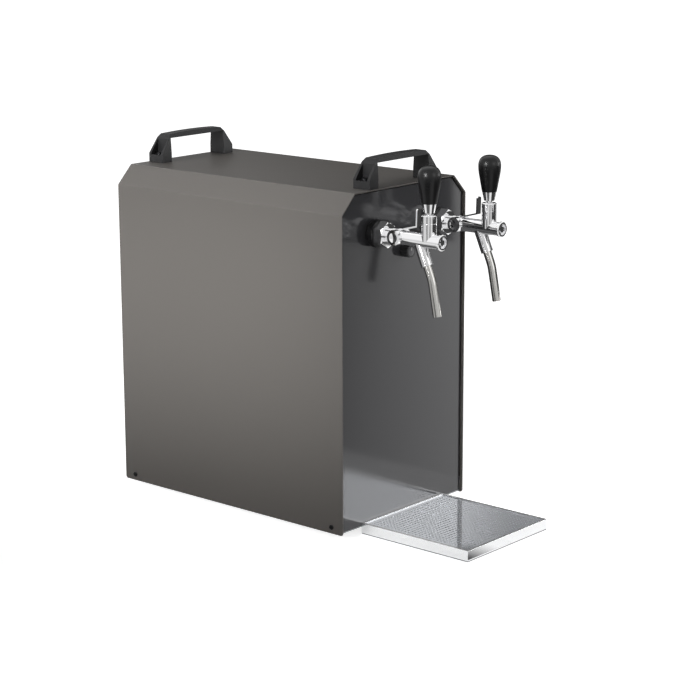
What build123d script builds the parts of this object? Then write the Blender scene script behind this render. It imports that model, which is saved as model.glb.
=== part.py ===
from build123d import *
from math import atan2, cos, degrees, hypot, pi, radians, sin, sqrt, tan
import os

# Countertop dry-contact beer chiller with two compensator taps and a separate drip tray.
# Millimetres, +Z up, front faces -Y, +X to the right as seen from the front.
# Origin: the middle of the whole object's footprint, on the table.

# ---------------------------------------------------------------- driving dimensions: cabinet
CAB_W = 270.0           # outside width of the folded wrap
CAB_D = 432.0           # depth of the wrap
CAB_H = 474.0           # height of the wrap
CHAMFER = 27.0          # 45 degree bevel along both long top edges
SHEET = 1.5             # sheet thickness of wrap, panels and base pan
BEND_R = 1.5            # inside radius of the wrap's bends
WRAP_Z = 8.0            # lower edge of the wrap above the table
CORNER_R = 4.0          # rounding of the wrap's lower corners
FOOT_H = 10.0           # rubber foot, also the underside of the base pan
FOOT_R = 12.0
FOOT_INSET = 45.0       # foot centre from the wrap's outside faces
PANEL_RECESS = 4.0      # front and rear panels sit this far inside the wrap
PANEL_GAP = 2.0         # shadow gap between the panels and the wrap
PANEL_FLANGE = 24.0     # folded return of the panels; the handle screws pass through it
PAN_FLANGE = 22.0       # height of the base pan's side flanges
SEAT_GAP = 0.3          # clearance between pieces that are slid together
FIT = 0.05              # radial running clearance of shafts, stems and bushes

SIDE_SCREW_Z = 9.2      # cover screws above the wrap's lower edge
SIDE_SCREW_IN = 20.5    # and in from the wrap's front and rear edges
SIDE_SCREW_R = 2.0
SIDE_HEAD_R = 3.6
SIDE_HEAD_H = 1.6
SIDE_SCREW_L = 6.0      # shank length behind the head

# ---------------------------------------------------------------- carrying handles
HANDLE_L = 148.0        # across the cabinet
HANDLE_W = 29.0         # foot width, front to back
GRIP_W = 23.0           # grip width, front to back
HANDLE_H = 42.0
HANDLE_LEG = 19.0       # leg width across
HANDLE_KNEE = 13.0      # upright part of the outer faces
HANDLE_LEAN = 20.0      # how far the outer faces lean in above the knee
GRIP_T = 7.0            # thickness of the grip bar
GRIP_CROWN = 1.5        # the grip's top is bowed up by this much
HANDLE_IN_FRONT = 17.5  # handle centre line behind the wrap's front edge
HANDLE_IN_REAR = 17.5   # and in front of its rear edge
POCKET_W = 20.0         # screw pocket, front to back
POCKET_D = 15.0         # screw pocket, along the handle
POCKET_Z = 11.0         # floor of the screw pocket
HANDLE_SCREW_R = 3.0
HANDLE_HEAD_R = 5.2
HANDLE_HEAD_H = 3.2
HANDLE_SCREW_L = 18.0

# ---------------------------------------------------------------- taps
# Distances are forward of the front panel's face; heights are above the tap's own axis.
TAP_X = 66.0            # each tap from the middle
TAP_Z = 422.7           # tap axis above the table
SHANK_R = 10.0
SHANK_BORE = 4.8
SHANK_BACK = 45.0       # shank behind the panel's face
SHANK_OUT = 18.0        # shank in front of it
FLANGE_R = 16.0         # black collar: small ring at the panel, then the large ring
FLANGE_OUT = 5.0
COLLAR_R = 19.0
COLLAR_OUT = 13.0
COLLAR_RIBS = 3         # grooves round the large ring
RIB_DEPTH = 0.8
WASHER_T = 1.5
NUT_AF = 31.5           # coupling nut, across flats
NUT_OUT = 28.0
NUT_CHAMFER = 1.4
BACK_NUT_AF = 27.0
BACK_NUT_T = 6.0
SHOULDER_R = 12.4       # shoulder of the tap body, held by the coupling nut
SHOULDER_T = 4.0
NECK_R = 9.4
PORT_OUT = 46.0         # cross boss of the flow control
PORT_R = 10.5
PORT_HALF = 13.0
SPINDLE_R = 6.0
PLUG_R = 8.5
PLUG_T = 2.5
PLUG_DISH = 1.1
TUBE_R = 9.7            # horizontal body tube
TUBE_OUT = 116.0
CAP_R = 10.9            # end cap
CAP_T = 5.0
CAP_HOLLOW_R = 7.6
CAP_HOLLOW_T = 3.0
CAP_HEX_AF = 8.0
CAP_SPIGOT = 5.0
LEVER_OUT = 97.5        # pour lever
SEAT_R = 10.25          # upright lever seat and its bonnet
SEAT_H = 24.0
BONNET_H = 11.0
BALL_R = 8.0
BALL_H = 29.0           # pivot height
LEVER_NECK_R = 4.0
FERRULE_H = 38.2        # ferrule: lower edge, then its length and radii
FERRULE_L = 12.2
FERRULE_R0 = 7.5
FERRULE_R1 = 9.9
KNOB_R0 = 10.2          # knob: radius at the ferrule, largest radius and its height, top
KNOB_R1 = 15.7
KNOB_MAX_H = 86.0
KNOB_TOP_H = 101.0
STUD_R = 4.0            # lever stud inside the knob
STUD_L = 25.0
FINGER_R = 1.8          # lever finger below the ball
TIP_R = 2.5
TIP_ARM = 26.0          # pivot to the middle of the fingertip
POUR_DEG = 18.0         # travel of the pour lever

VALVE_SEAT_OUT = 66.0   # upstream face of the valve seat
VALVE_SEAT_T = 4.0
VALVE_BORE = 3.8
CHAMBER_OUT = 52.0      # upstream chamber begins here
CHAMBER_R = 6.5
PLUNGER_R = 5.0
PLUNGER_ROD_R = 3.0
PLUNGER_END = 109.0
SEAL_R = 5.4
SEAL_T = 3.0
GROOVE_PLAY = 0.4       # room each side of the fingertip
INLET_BORE = 4.5

FLOW_DEG = 60.0         # travel of the flow-control lever
STRIP_W = 8.6           # flow-control lever, across
STRIP_T = 2.2
STRIP_ROOT = (5.7, 10.6)    # forward and up from the spindle's axis
STRIP_NEAR = (33.0, 18.0)
STRIP_TOP = (33.7, 41.4)

SPOUT_OUT = 80.4        # spout axis leaves the tap axis here
SPOUT_TILT = 23.6       # degrees from upright, lower end forward
SPOUT_TILT_END = 10.9
NIPPLE_R = 6.2
NIPPLE_L = 18.7
SLEEVE_R = 8.5
SLEEVE_L = 37.3         # lower end of the sleeve, along the spout axis
SPOUT_R = 6.0
SPOUT_BORE = 4.75
SPOUT_BEND_AT = 57.0    # bend, along the spout axis
SPOUT_BEND_R = 60.0
SPOUT_END_L = 49.5      # straight end beyond the bend's corner
VENT_R = 0.8

# ---------------------------------------------------------------- thermostat
DIAL_Z = 389.0
DIAL_R = 8.7
DIAL_L = 13.5
DIAL_FLUTES = 12
DIAL_SHAFT_R = 3.0
THERMO_W, THERMO_D, THERMO_H = 44.0, 34.0, 30.0
BUSH_R = 5.0

# ---------------------------------------------------------------- drip tray
TRAY_W = 181.5
TRAY_D = 186.5
TRAY_H = 16.0           # top of the rim above the table
TRAY_PAD_H = 1.5
TRAY_PAD_R = 7.0
TRAY_PAD_IN = 16.0
TRAY_SHEET = 1.2
RIM_W = 4.0
RIM_LIP = 2.6
LEDGE_W = 3.5
GRID_T = 1.2
GRID_BORDER = 7.0       # plain border of the perforated plate
GRID_PITCH = 11.0
GRID_HOLE = 6.4

# ---------------------------------------------------------------- cooling parts inside
BLOCK_W, BLOCK_D, BLOCK_H = 170.0, 250.0, 140.0
FOAM_T = 24.0
FOAM_FRONT = 60.0       # foam behind the wrap's front edge
FOAM_CLEAR = 14.0       # top of the foam to the wrap's top
FRAME_CLEAR = 11.0      # inner frame to the wrap's sides
LINE_R = 4.75           # beer line
LINE_DEEP = 14.0        # how far a line enters the block
SENSOR_R = 1.5
COMP_Y = 150.0          # compressor axis behind the wrap's front edge
COMP_R = 70.0
COMP_H = 150.0
COMP_DOME = 34.0
COMP_SEAM = 4.0
COMP_PLATE_W, COMP_PLATE_D, COMP_PLATE_T = 196.0, 120.0, 3.0
GROMMET_R = 9.0
GROMMET_H = 12.0
RELAY_W, RELAY_D, RELAY_H = 24.0, 46.0, 60.0
COND_Y = 364.0          # condenser behind the wrap's front edge
COND_W, COND_D, COND_H = 190.0, 38.0, 210.0
COND_FINS = 30
COND_FIN_T = 1.2
COND_CORE_D = 20.0
COND_TUBE_R = 4.0
COND_TURNS = 5
SHROUD_T = 1.5
SHROUD_DUCT = 22.0
FAN_R = 82.0
FAN_HUB_R = 22.0
FAN_BLADES = 5
FAN_BLADE_T = 2.0
FAN_PITCH = 32.0
FAN_DEPTH = 18.0
FAN_TIP_GAP = 3.0
MOTOR_R = 27.0
MOTOR_L = 36.0
MOTOR_SHAFT_R = 3.0
MOTOR_STRUTS = 3
PIPE_R = 3.0
SUCTION_R = 4.0
DRIER_R = 9.0
DRIER_L = 70.0

# ---------------------------------------------------------------- rear panel
LOUVRE_W = 92.0
LOUVRE_H = 8.0
LOUVRE_OUT = 3.4
LOUVRE_PITCH = 17.0
LOUVRE_ROWS = 11
LOUVRE_X = 54.0         # middle of each column
LOUVRE_Z = 78.0         # lowest row
INLET_OUT = 22.0        # product inlets stand out of the rear panel
INLET_R = 10.0
INLET_BORE_R = 4.8
INLET_BORE_L = 16.0
INLET_FLANGE_AF = 22.0
INLET_FLANGE_T = 5.0
INLET_BACK = 22.0
MAINS_X = 84.0
MAINS_Z = 44.0
MAINS_W, MAINS_H = 27.0, 19.8
MAINS_FLANGE_W, MAINS_FLANGE_H, MAINS_FLANGE_T = 50.0, 25.0, 2.0
MAINS_DEEP = 20.0
MAINS_WALL = 1.5
MAINS_PIN_L = 11.0
SWITCH_X = 32.0
SWITCH_W, SWITCH_H = 13.0, 19.2
SWITCH_FLANGE = 1.6
SWITCH_DEEP = 18.0
ROCKER_TILT = 9.0       # rocker leans this far each way
ROCKER_PIN_R = 1.5

# ---------------------------------------------------------------- planes and places worked out
TRAY_GAP = SEAT_GAP     # tray behind edge to the front panel
PANEL_AHEAD = PANEL_RECESS - TRAY_GAP - TRAY_D          # tray front from the wrap's front
REAR_END = CAB_D - PANEL_RECESS + INLET_OUT
Y_FRONT = -(PANEL_AHEAD + REAR_END) / 2
Y_BACK = Y_FRONT + CAB_D
Y_PANEL = Y_FRONT + PANEL_RECESS
Y_REAR = Y_BACK - PANEL_RECESS
PAN_TOP = FOOT_H + SHEET
WRAP_TOP = WRAP_Z + CAB_H
SCREW_Z = WRAP_Z + SIDE_SCREW_Z
FOAM_W, FOAM_D, FOAM_H = BLOCK_W + 2 * FOAM_T, BLOCK_D + 2 * FOAM_T, BLOCK_H + 2 * FOAM_T
FOAM_Y0 = Y_FRONT + FOAM_FRONT
FRAME_TOP = WRAP_TOP - FOAM_CLEAR - FOAM_H
FRAME_HALF = CAB_W / 2 - FRAME_CLEAR
FOAM_Z0 = FRAME_TOP
BLOCK_Y0 = FOAM_Y0 + FOAM_T
BLOCK_Y1 = BLOCK_Y0 + BLOCK_D
SPOUT_DIR = (-sin(radians(SPOUT_TILT)), -cos(radians(SPOUT_TILT)))
SPOUT_END_DIR = (-sin(radians(SPOUT_TILT_END)), -cos(radians(SPOUT_TILT_END)))
FAN_Z = PAN_TOP + COND_H / 2
FAN_Y = Y_FRONT + COND_Y - SHROUD_T - FAN_DEPTH / 2 - 1.0

BASE = (Align.CENTER, Align.CENTER, Align.MIN)
parts = {}


def keep(name, *solids):
    """Store one named sub-part made of one or more separate solids."""
    found = [s for shape in solids for s in shape.solids()]
    parts[name] = found[0] if len(found) == 1 else Compound(found)


# ---------------------------------------------------------------- small makers
def block(x0, x1, y0, y1, z0, z1):
    return Pos((x0 + x1) / 2, (y0 + y1) / 2, z0) * Box(x1 - x0, y1 - y0, z1 - z0, align=BASE)


def rod_x(radius, x0, x1, y=0.0, z=0.0):
    return Pos(x0, y, z) * Rot(0, 90, 0) * Cylinder(radius, x1 - x0, align=BASE)


def rod_y(radius, y0, y1, x=0.0, z=0.0):
    return Pos(x, y0, z) * Rot(-90, 0, 0) * Cylinder(radius, y1 - y0, align=BASE)


def rod_z(radius, z0, z1, x=0.0, y=0.0):
    return Pos(x, y, z0) * Cylinder(radius, z1 - z0, align=BASE)


def prism_x(points, x0, x1):
    """Closed (y, z) outline extruded from x0 to x1."""
    return Pos(x0, 0, 0) * extrude(Plane.YZ * make_face(Polyline(*points, close=True)), amount=x1 - x0)


def prism_y(points, y0, y1):
    """Closed (x, z) outline extruded from y0 to y1."""
    return Pos(0, y0, 0) * extrude(Plane.XZ * make_face(Polyline(*points, close=True)), amount=y0 - y1)


def turned_y(profile):
    """Closed (radius, y) outline turned about the Y axis."""
    return revolve(make_face(Polyline(*profile, close=True)), Axis.Y)


def turned_z(profile):
    """Closed (radius, z) outline turned about the Z axis."""
    return revolve(Plane.XZ * make_face(Polyline(*profile, close=True)), Axis.Z)


def hex_y(flats, y0, y1):
    """Hexagonal bar along Y with a corner at the top."""
    face = Plane.XZ * RegularPolygon(flats / 2, 6, major_radius=False, rotation=30)
    return Pos(0, y0, 0) * extrude(face, amount=y0 - y1)


def frame(width, depth, outer, inner, z0, z1):
    """Rectangular ring between two insets of a width by depth rectangle, about the origin."""
    ring = Rectangle(width - 2 * outer, depth - 2 * outer) - Rectangle(width - 2 * inner, depth - 2 * inner)
    return Pos(0, 0, z0) * extrude(ring, amount=z1 - z0)


def band(points, thickness):
    """Outline of a bent strip of constant thickness along an open line of points."""
    left, right = [], []
    last = len(points) - 1
    for i, (a, b) in enumerate(points):
        before = points[max(i - 1, 0)]
        after = points[min(i + 1, last)]
        in_dir = atan2(b - before[1], a - before[0]) if i else None
        out_dir = atan2(after[1] - b, after[0] - a) if i < last else None
        if in_dir is None:
            in_dir = out_dir
        if out_dir is None:
            out_dir = in_dir
        middle = (in_dir + out_dir) / 2
        reach = thickness / 2 / cos((out_dir - in_dir) / 2)
        left.append((a - reach * sin(middle), b + reach * cos(middle)))
        right.append((a + reach * sin(middle), b - reach * cos(middle)))
    return left + right[::-1]


def both_sides(shape):
    """A shape at +X and its mirror image at -X."""
    return shape, mirror(shape, Plane.YZ)


# ---------------------------------------------------------------- cabinet
def wrap_outline(inset, low, radius):
    """Front outline of the cabinet, moved in by inset, open to low, with bent corners."""
    half = CAB_W / 2 - inset
    top = WRAP_TOP - inset
    cut = CHAMFER - inset * (2 - sqrt(2))
    path = [(-half, low), (-half, top - cut), (-half + cut, top)]
    path += [(-x, z) for x, z in reversed(path)]
    rounded = FilletPolyline(*path, radius=radius)
    return make_face([*rounded.edges(), Line(path[-1], path[0])])


def wrap_prism(inset, low, radius, y0, y1):
    return Pos(0, y0, 0) * extrude(Plane.XZ * wrap_outline(inset, low, radius), amount=y0 - y1)


def outer_wrap():
    shell = wrap_prism(0, WRAP_Z, BEND_R + SHEET, Y_FRONT, Y_BACK)
    shell -= wrap_prism(SHEET, WRAP_Z, BEND_R, Y_FRONT, Y_BACK)
    low = shell.edges().filter_by(Axis.X).filter_by_position(Axis.Z, WRAP_Z - 0.1, WRAP_Z + 0.1)
    shell = fillet(low, CORNER_R)
    return screw_holes(shell)


def screw_holes(shape):
    """Cut the holes of the cover screws and of the handle screws through a sheet."""
    for y in side_screw_ys():
        shape -= rod_x(SIDE_SCREW_R + FIT, -CAB_W, CAB_W, y, SCREW_Z)
    for y in handle_ys():
        for x in (-handle_screw_x(), handle_screw_x()):
            shape -= rod_z(HANDLE_SCREW_R + FIT, WRAP_TOP - HANDLE_SCREW_L, WRAP_TOP + SHEET, x, y)
    return shape


def side_screw_ys():
    return Y_FRONT + SIDE_SCREW_IN, Y_BACK - SIDE_SCREW_IN


def handle_ys():
    return Y_FRONT + HANDLE_IN_FRONT, Y_BACK - HANDLE_IN_REAR


def handle_screw_x():
    return HANDLE_L / 2 - POCKET_D / 2 - 1.0


def cover_screws():
    """Pan-head screws that hold the wrap to the base pan, two on each side."""
    out = []
    for y in side_screw_ys():
        head = rod_x(SIDE_HEAD_R, CAB_W / 2, CAB_W / 2 + SIDE_HEAD_H, y, SCREW_Z)
        head = chamfer(head.faces().sort_by(Axis.X)[-1].edges(), SIDE_HEAD_H * 0.4)
        head -= rod_x(SIDE_HEAD_R * 0.4, CAB_W / 2 + SIDE_HEAD_H * 0.5, CAB_W, y, SCREW_Z)
        shank = rod_x(SIDE_SCREW_R, CAB_W / 2 - SIDE_SCREW_L, CAB_W / 2, y, SCREW_Z)
        out += both_sides(head + shank)
    return out


def base_pan():
    """Folded floor that carries the panels, the frame and the compressor."""
    half = CAB_W / 2 - SHEET - SEAT_GAP
    outline = [(-half, FOOT_H + PAN_FLANGE), (-half, FOOT_H), (half, FOOT_H), (half, FOOT_H + PAN_FLANGE)]
    inner = half - SHEET
    outline += [(inner, FOOT_H + PAN_FLANGE), (inner, PAN_TOP), (-inner, PAN_TOP), (-inner, FOOT_H + PAN_FLANGE)]
    pan = prism_y(outline, Y_PANEL, Y_REAR)
    for y in side_screw_ys():
        pan -= rod_x(SIDE_SCREW_R + FIT, -CAB_W, CAB_W, y, SCREW_Z)
    for i in range(6):
        y = Y_FRONT + COMP_Y + (i - 2.5) * 18.0
        pan -= block(-COMP_R * 0.6, COMP_R * 0.6, y - 3, y + 3, FOOT_H - 1, PAN_TOP + 1)
    return pan


def foot_places():
    return [(x, y) for x in (FOOT_INSET - CAB_W / 2, CAB_W / 2 - FOOT_INSET)
            for y in (Y_FRONT + FOOT_INSET, Y_BACK - FOOT_INSET)]


def rubber_feet():
    """Tapered feet with a screw hollow in the sole."""
    sole = [(0, 3.0), (4.5, 3.0), (4.5, 0), (FOOT_R - 2.5, 0), (FOOT_R - 1.5, 1.0), (FOOT_R, FOOT_H), (0, FOOT_H)]
    return [Pos(x, y, 0) * turned_z(sole) for x, y in foot_places()]


def panel_shell(inset, front, back, face_at_front):
    """Panel with a folded return all round: the plate is at one end of the box."""
    box = wrap_prism(inset, PAN_TOP, BEND_R + SHEET, front, back)
    y0, y1 = (front + SHEET, back + 1) if face_at_front else (front - 1, back - SHEET)
    return box - wrap_prism(inset + SHEET, PAN_TOP + SHEET, BEND_R, y0, y1)


def panel_inset():
    """The panels stand between the base pan's side flanges."""
    return max(SHEET + PANEL_GAP, 2 * SHEET + 2 * SEAT_GAP)


def front_panel():
    panel = panel_shell(panel_inset(), Y_PANEL, Y_PANEL + PANEL_FLANGE, True)
    for x in (-TAP_X, TAP_X):
        panel -= rod_y(SHANK_R + SEAT_GAP, Y_PANEL - 1, Y_PANEL + SHEET + 1, x, TAP_Z)
    return screw_holes(panel - rod_y(BUSH_R + FIT, Y_PANEL - 1, Y_PANEL + SHEET + 1, 0, DIAL_Z))


def louvre_hood():
    """One pressed louvre, open downwards, with its foot at y = 0 and z = 0."""
    outer = prism_x([(0, 0), (LOUVRE_OUT, 0), (0, LOUVRE_H)], -LOUVRE_W / 2, LOUVRE_W / 2)
    thin = SHEET * 0.7
    inner = prism_x([(0, 0), (LOUVRE_OUT - thin, 0), (0, LOUVRE_H - 2 * thin)],
                    thin - LOUVRE_W / 2, LOUVRE_W / 2 - thin)
    return outer - Pos(0, -0.001, -0.001) * inner


def louvre_places():
    return [(x, LOUVRE_Z + row * LOUVRE_PITCH) for row in range(LOUVRE_ROWS) for x in (-LOUVRE_X, LOUVRE_X)]


def rear_panel():
    panel = screw_holes(panel_shell(panel_inset(), Y_REAR - PANEL_FLANGE, Y_REAR, False))
    thin = SHEET * 0.7
    slot_w = LOUVRE_W / 2 - thin
    hood = louvre_hood()
    for x, z in louvre_places():
        slot = block(x - slot_w, x + slot_w, Y_REAR - SHEET - 1, Y_REAR + 0.001, z, z + LOUVRE_H - 2 * thin)
        panel = panel - slot + Pos(x, Y_REAR, z) * hood
    for x in (-TAP_X, TAP_X):
        panel -= rod_y(INLET_R + FIT, Y_REAR - SHEET - 1, Y_REAR + 1, x, TAP_Z)
    panel -= block(MAINS_X - MAINS_W / 2 - SEAT_GAP, MAINS_X + MAINS_W / 2 + SEAT_GAP, Y_REAR - SHEET - 1,
                   Y_REAR + 1, MAINS_Z - MAINS_H / 2 - SEAT_GAP, MAINS_Z + MAINS_H / 2 + SEAT_GAP)
    return panel - block(SWITCH_X - SWITCH_W / 2 - SEAT_GAP, SWITCH_X + SWITCH_W / 2 + SEAT_GAP,
                         Y_REAR - SHEET - 1, Y_REAR + 1, MAINS_Z - SWITCH_H / 2 - SEAT_GAP,
                         MAINS_Z + SWITCH_H / 2 + SEAT_GAP)


# ---------------------------------------------------------------- handles
def handle():
    """Moulded bridge handle with its foot at z = 0, lying along X."""
    half = HANDLE_L / 2
    top = half - HANDLE_LEAN
    side = HANDLE_H - GRIP_CROWN
    inner = half - HANDLE_LEG
    outline = make_face([
        Polyline((inner, 0), (half, 0), (half, HANDLE_KNEE), (top, side)),
        ThreePointArc((top, side), (0, HANDLE_H), (-top, side)),
        Polyline((-top, side), (-half, HANDLE_KNEE), (-half, 0), (-inner, 0),
                 (-inner, HANDLE_H - GRIP_T), (inner, HANDLE_H - GRIP_T), (inner, 0)),
    ])
    bar = Pos(0, -HANDLE_W / 2, 0) * extrude(Plane.XZ * outline, amount=-HANDLE_W)
    taper = [(-HANDLE_W / 2, 0), (-HANDLE_W / 2, HANDLE_KNEE), (-GRIP_W / 2 - 1.5, HANDLE_H - 7),
             (-GRIP_W / 2 + 3.5, HANDLE_H), (GRIP_W / 2 - 3.5, HANDLE_H), (GRIP_W / 2 + 1.5, HANDLE_H - 7),
             (HANDLE_W / 2, HANDLE_KNEE), (HANDLE_W / 2, 0)]
    bar &= prism_x(taper, -half, half)
    for x0, x1 in ((-half - 1, -half + POCKET_D), (half - POCKET_D, half + 1)):
        bar -= block(x0, x1, -POCKET_W / 2, POCKET_W / 2, POCKET_Z, HANDLE_H)
    for x in (-handle_screw_x(), handle_screw_x()):
        bar -= rod_z(HANDLE_SCREW_R + FIT, -1, HANDLE_H, x)
    return bar


def handle_screws():
    out = []
    for y in handle_ys():
        for x in (-handle_screw_x(), handle_screw_x()):
            floor = WRAP_TOP + POCKET_Z
            screw = rod_z(HANDLE_HEAD_R, floor, floor + HANDLE_HEAD_H, x, y)
            screw -= rod_z(HANDLE_HEAD_R * 0.45, floor + HANDLE_HEAD_H * 0.4, WRAP_TOP + HANDLE_H, x, y)
            out.append(screw + rod_z(HANDLE_SCREW_R, floor - HANDLE_SCREW_L, floor, x, y))
    return out


# ---------------------------------------------------------------- tap: fixed pieces, about the origin
def spout_point(along):
    """(y, z) of a point on the upper, straight part of the spout axis."""
    return -SPOUT_OUT + SPOUT_DIR[0] * along, SPOUT_DIR[1] * along


def spout_rod(radius, along0, along1):
    y, z = spout_point(along0)
    return Pos(0, y, z) * Rot(180 - SPOUT_TILT, 0, 0) * Cylinder(radius, along1 - along0, align=BASE)


def collar():
    """Black ring round the shank: a flange at the panel, then a ribbed collar."""
    width = (COLLAR_OUT - FLANGE_OUT) / (2 * COLLAR_RIBS + 1)
    edge = [(SHANK_R + FIT, 0), (FLANGE_R, 0), (FLANGE_R, -FLANGE_OUT)]
    for i in range(2 * COLLAR_RIBS + 1):
        radius = COLLAR_R - (RIB_DEPTH if i % 2 else 0)
        edge += [(radius, -FLANGE_OUT - i * width), (radius, -FLANGE_OUT - (i + 1) * width)]
    return turned_y(edge + [(SHANK_R + FIT, -COLLAR_OUT)])


def shank():
    return rod_y(SHANK_R, -SHANK_OUT, SHANK_BACK) - rod_y(SHANK_BORE, -SHANK_OUT, SHANK_BACK)


def back_nut():
    nut = hex_y(BACK_NUT_AF, SHEET, SHEET + BACK_NUT_T)
    return nut - rod_y(SHANK_R + FIT, 0, SHEET + BACK_NUT_T + 1)


def washer():
    ring = rod_y(SHANK_R - 0.5, -SHANK_OUT - WASHER_T, -SHANK_OUT)
    return ring - rod_y(SHANK_BORE, -SHANK_OUT - WASHER_T, -SHANK_OUT)


def coupling_nut():
    corner = NUT_AF / sqrt(3)
    flat = NUT_AF / 2
    cone = [(0, -COLLAR_OUT), (flat, -COLLAR_OUT), (corner, -COLLAR_OUT - NUT_CHAMFER),
            (corner, -NUT_OUT + NUT_CHAMFER), (flat, -NUT_OUT), (0, -NUT_OUT)]
    nut = hex_y(NUT_AF, -NUT_OUT, -COLLAR_OUT) & turned_y(cone)
    shoulder_end = SHANK_OUT + WASHER_T + SHOULDER_T + FIT
    nut -= rod_y(SHANK_R + FIT, -SHANK_OUT, -COLLAR_OUT + 1)
    nut -= rod_y(SHOULDER_R + FIT, -shoulder_end, -SHANK_OUT)
    return nut - rod_y(NECK_R + FIT, -NUT_OUT - 1, -shoulder_end)


def tap_body():
    """Chrome casting: neck, cross boss, horizontal tube, lever seat and spout nipple."""
    root = -SHANK_OUT - WASHER_T
    neck = turned_y([(0, root), (SHOULDER_R, root), (SHOULDER_R, root - SHOULDER_T), (NECK_R, root - SHOULDER_T),
                     (NECK_R, -NUT_OUT - 2), (PORT_R, -PORT_OUT + PORT_R / 2), (PORT_R, -PORT_OUT),
                     (TUBE_R, -PORT_OUT - PORT_R), (TUBE_R, -TUBE_OUT), (0, -TUBE_OUT)])
    boss = rod_x(PORT_R, -PORT_HALF, PORT_HALF, -PORT_OUT)
    body = neck + boss + rod_z(SEAT_R, 0, SEAT_H, 0, -LEVER_OUT) + spout_rod(NIPPLE_R, 0, NIPPLE_L)
    body -= rod_y(INLET_BORE, -CHAMBER_OUT, root + 1)
    body -= rod_y(CHAMBER_R, -VALVE_SEAT_OUT, -CHAMBER_OUT)
    body -= rod_y(VALVE_BORE, -VALVE_SEAT_OUT - VALVE_SEAT_T, -VALVE_SEAT_OUT)
    body -= rod_y(PLUNGER_R + FIT, -TUBE_OUT - 1, -VALVE_SEAT_OUT - VALVE_SEAT_T)
    body -= spout_rod(SPOUT_BORE, 0, NIPPLE_L + 1)
    body -= rod_x(SPINDLE_R + FIT, -PORT_HALF - 1, PORT_HALF + 1, -PORT_OUT)
    for x in (-PORT_HALF, PORT_HALF - PLUG_T):
        body -= rod_x(PLUG_R + FIT, x, x + PLUG_T, -PORT_OUT)
    body -= flow_slot()
    body -= Pos(0, -LEVER_OUT, BALL_H) * Sphere(BALL_R + FIT)
    return body - finger_slot()


def flow_slot():
    """Fan-shaped slot through the top of the cross boss, where the flow lever swings."""
    rest = degrees(atan2(STRIP_ROOT[1], -STRIP_ROOT[0]))
    margin = degrees((STRIP_T / 2 + SEAT_GAP) / SPINDLE_R)
    reach = PORT_R * 1.35
    first, last = rest + margin, rest - FLOW_DEG - margin
    angles = [radians(first + (last - first) * i / 4) for i in range(5)]
    fan = [(-PORT_OUT, 0)] + [(-PORT_OUT + reach * cos(a), reach * sin(a)) for a in angles]
    half = STRIP_W / 2 + SEAT_GAP
    return prism_x(fan, -half, half)


def finger_slot():
    """Wedge slot under the ball, as long as the lever finger's swing needs."""
    swing = tan(radians(POUR_DEG))
    side = TIP_R / cos(radians(POUR_DEG)) + SEAT_GAP
    low, high = 0.0, BALL_H - BALL_R * 0.8
    fore = -LEVER_OUT - TIP_R - SEAT_GAP
    rear = [(-LEVER_OUT + side + (BALL_H - z) * swing, z) for z in (low, high)]
    return prism_x([(fore, low), rear[0], rear[1], (fore, high)], -TIP_R - SEAT_GAP, TIP_R + SEAT_GAP)


def bonnet():
    """Ring nut that holds the lever's ball on its seat."""
    ring = rod_z(SEAT_R, SEAT_H, SEAT_H + BONNET_H)
    ring = chamfer(ring.edges().sort_by(Axis.Z)[-1], 1.0)
    ring -= Pos(0, 0, BALL_H) * Sphere(BALL_R + FIT)
    ring -= rod_z(BALL_R * 0.8, BALL_H + BALL_R / 2, SEAT_H + BONNET_H + 1)
    groove = rod_z(SEAT_R + 1, SEAT_H, SEAT_H + 0.8) - rod_z(SEAT_R - 0.6, SEAT_H, SEAT_H + 0.8)
    return Pos(0, -LEVER_OUT, 0) * (ring - groove)


def end_cap():
    """Cap that closes the tube: rounded rim, round hollow and a hexagon in it."""
    face = -TUBE_OUT - CAP_T
    cap = turned_y([(0, -TUBE_OUT + CAP_SPIGOT), (PLUNGER_R, -TUBE_OUT + CAP_SPIGOT), (PLUNGER_R, -TUBE_OUT),
                    (CAP_R - 1.2, -TUBE_OUT), (CAP_R, -TUBE_OUT - 1.2), (CAP_R, face + 1.2), (CAP_R - 1.2, face),
                    (CAP_HOLLOW_R, face), (CAP_HOLLOW_R - 0.8, face + CAP_HOLLOW_T), (0, face + CAP_HOLLOW_T)])
    return cap + hex_y(CAP_HEX_AF, face + 0.8, face + CAP_HOLLOW_T)


def spindle_plugs():
    """Dished discs that close both ends of the cross boss."""
    disc = rod_x(PLUG_R, PORT_HALF - PLUG_T, PORT_HALF, -PORT_OUT)
    ball = (PLUG_R * 0.8) ** 2 / (2 * PLUG_DISH) + PLUG_DISH / 2
    return both_sides(disc - Pos(PORT_HALF + ball - PLUG_DISH, -PORT_OUT, 0) * Sphere(ball))


def spout_sleeve():
    sleeve = spout_rod(SLEEVE_R, 0, SLEEVE_L)
    sleeve -= spout_rod(NIPPLE_R + FIT, 0, NIPPLE_L + SEAT_GAP)
    sleeve -= spout_rod(SPOUT_R + FIT, NIPPLE_L, SLEEVE_L + 1)
    return sleeve - rod_y(TUBE_R + FIT, -TUBE_OUT, -PORT_OUT)


def spout_end():
    """(y, z) of the spout's mouth."""
    y, z = spout_point(SPOUT_BEND_AT)
    return y + SPOUT_END_DIR[0] * SPOUT_END_L, z + SPOUT_END_DIR[1] * SPOUT_END_L


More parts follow.
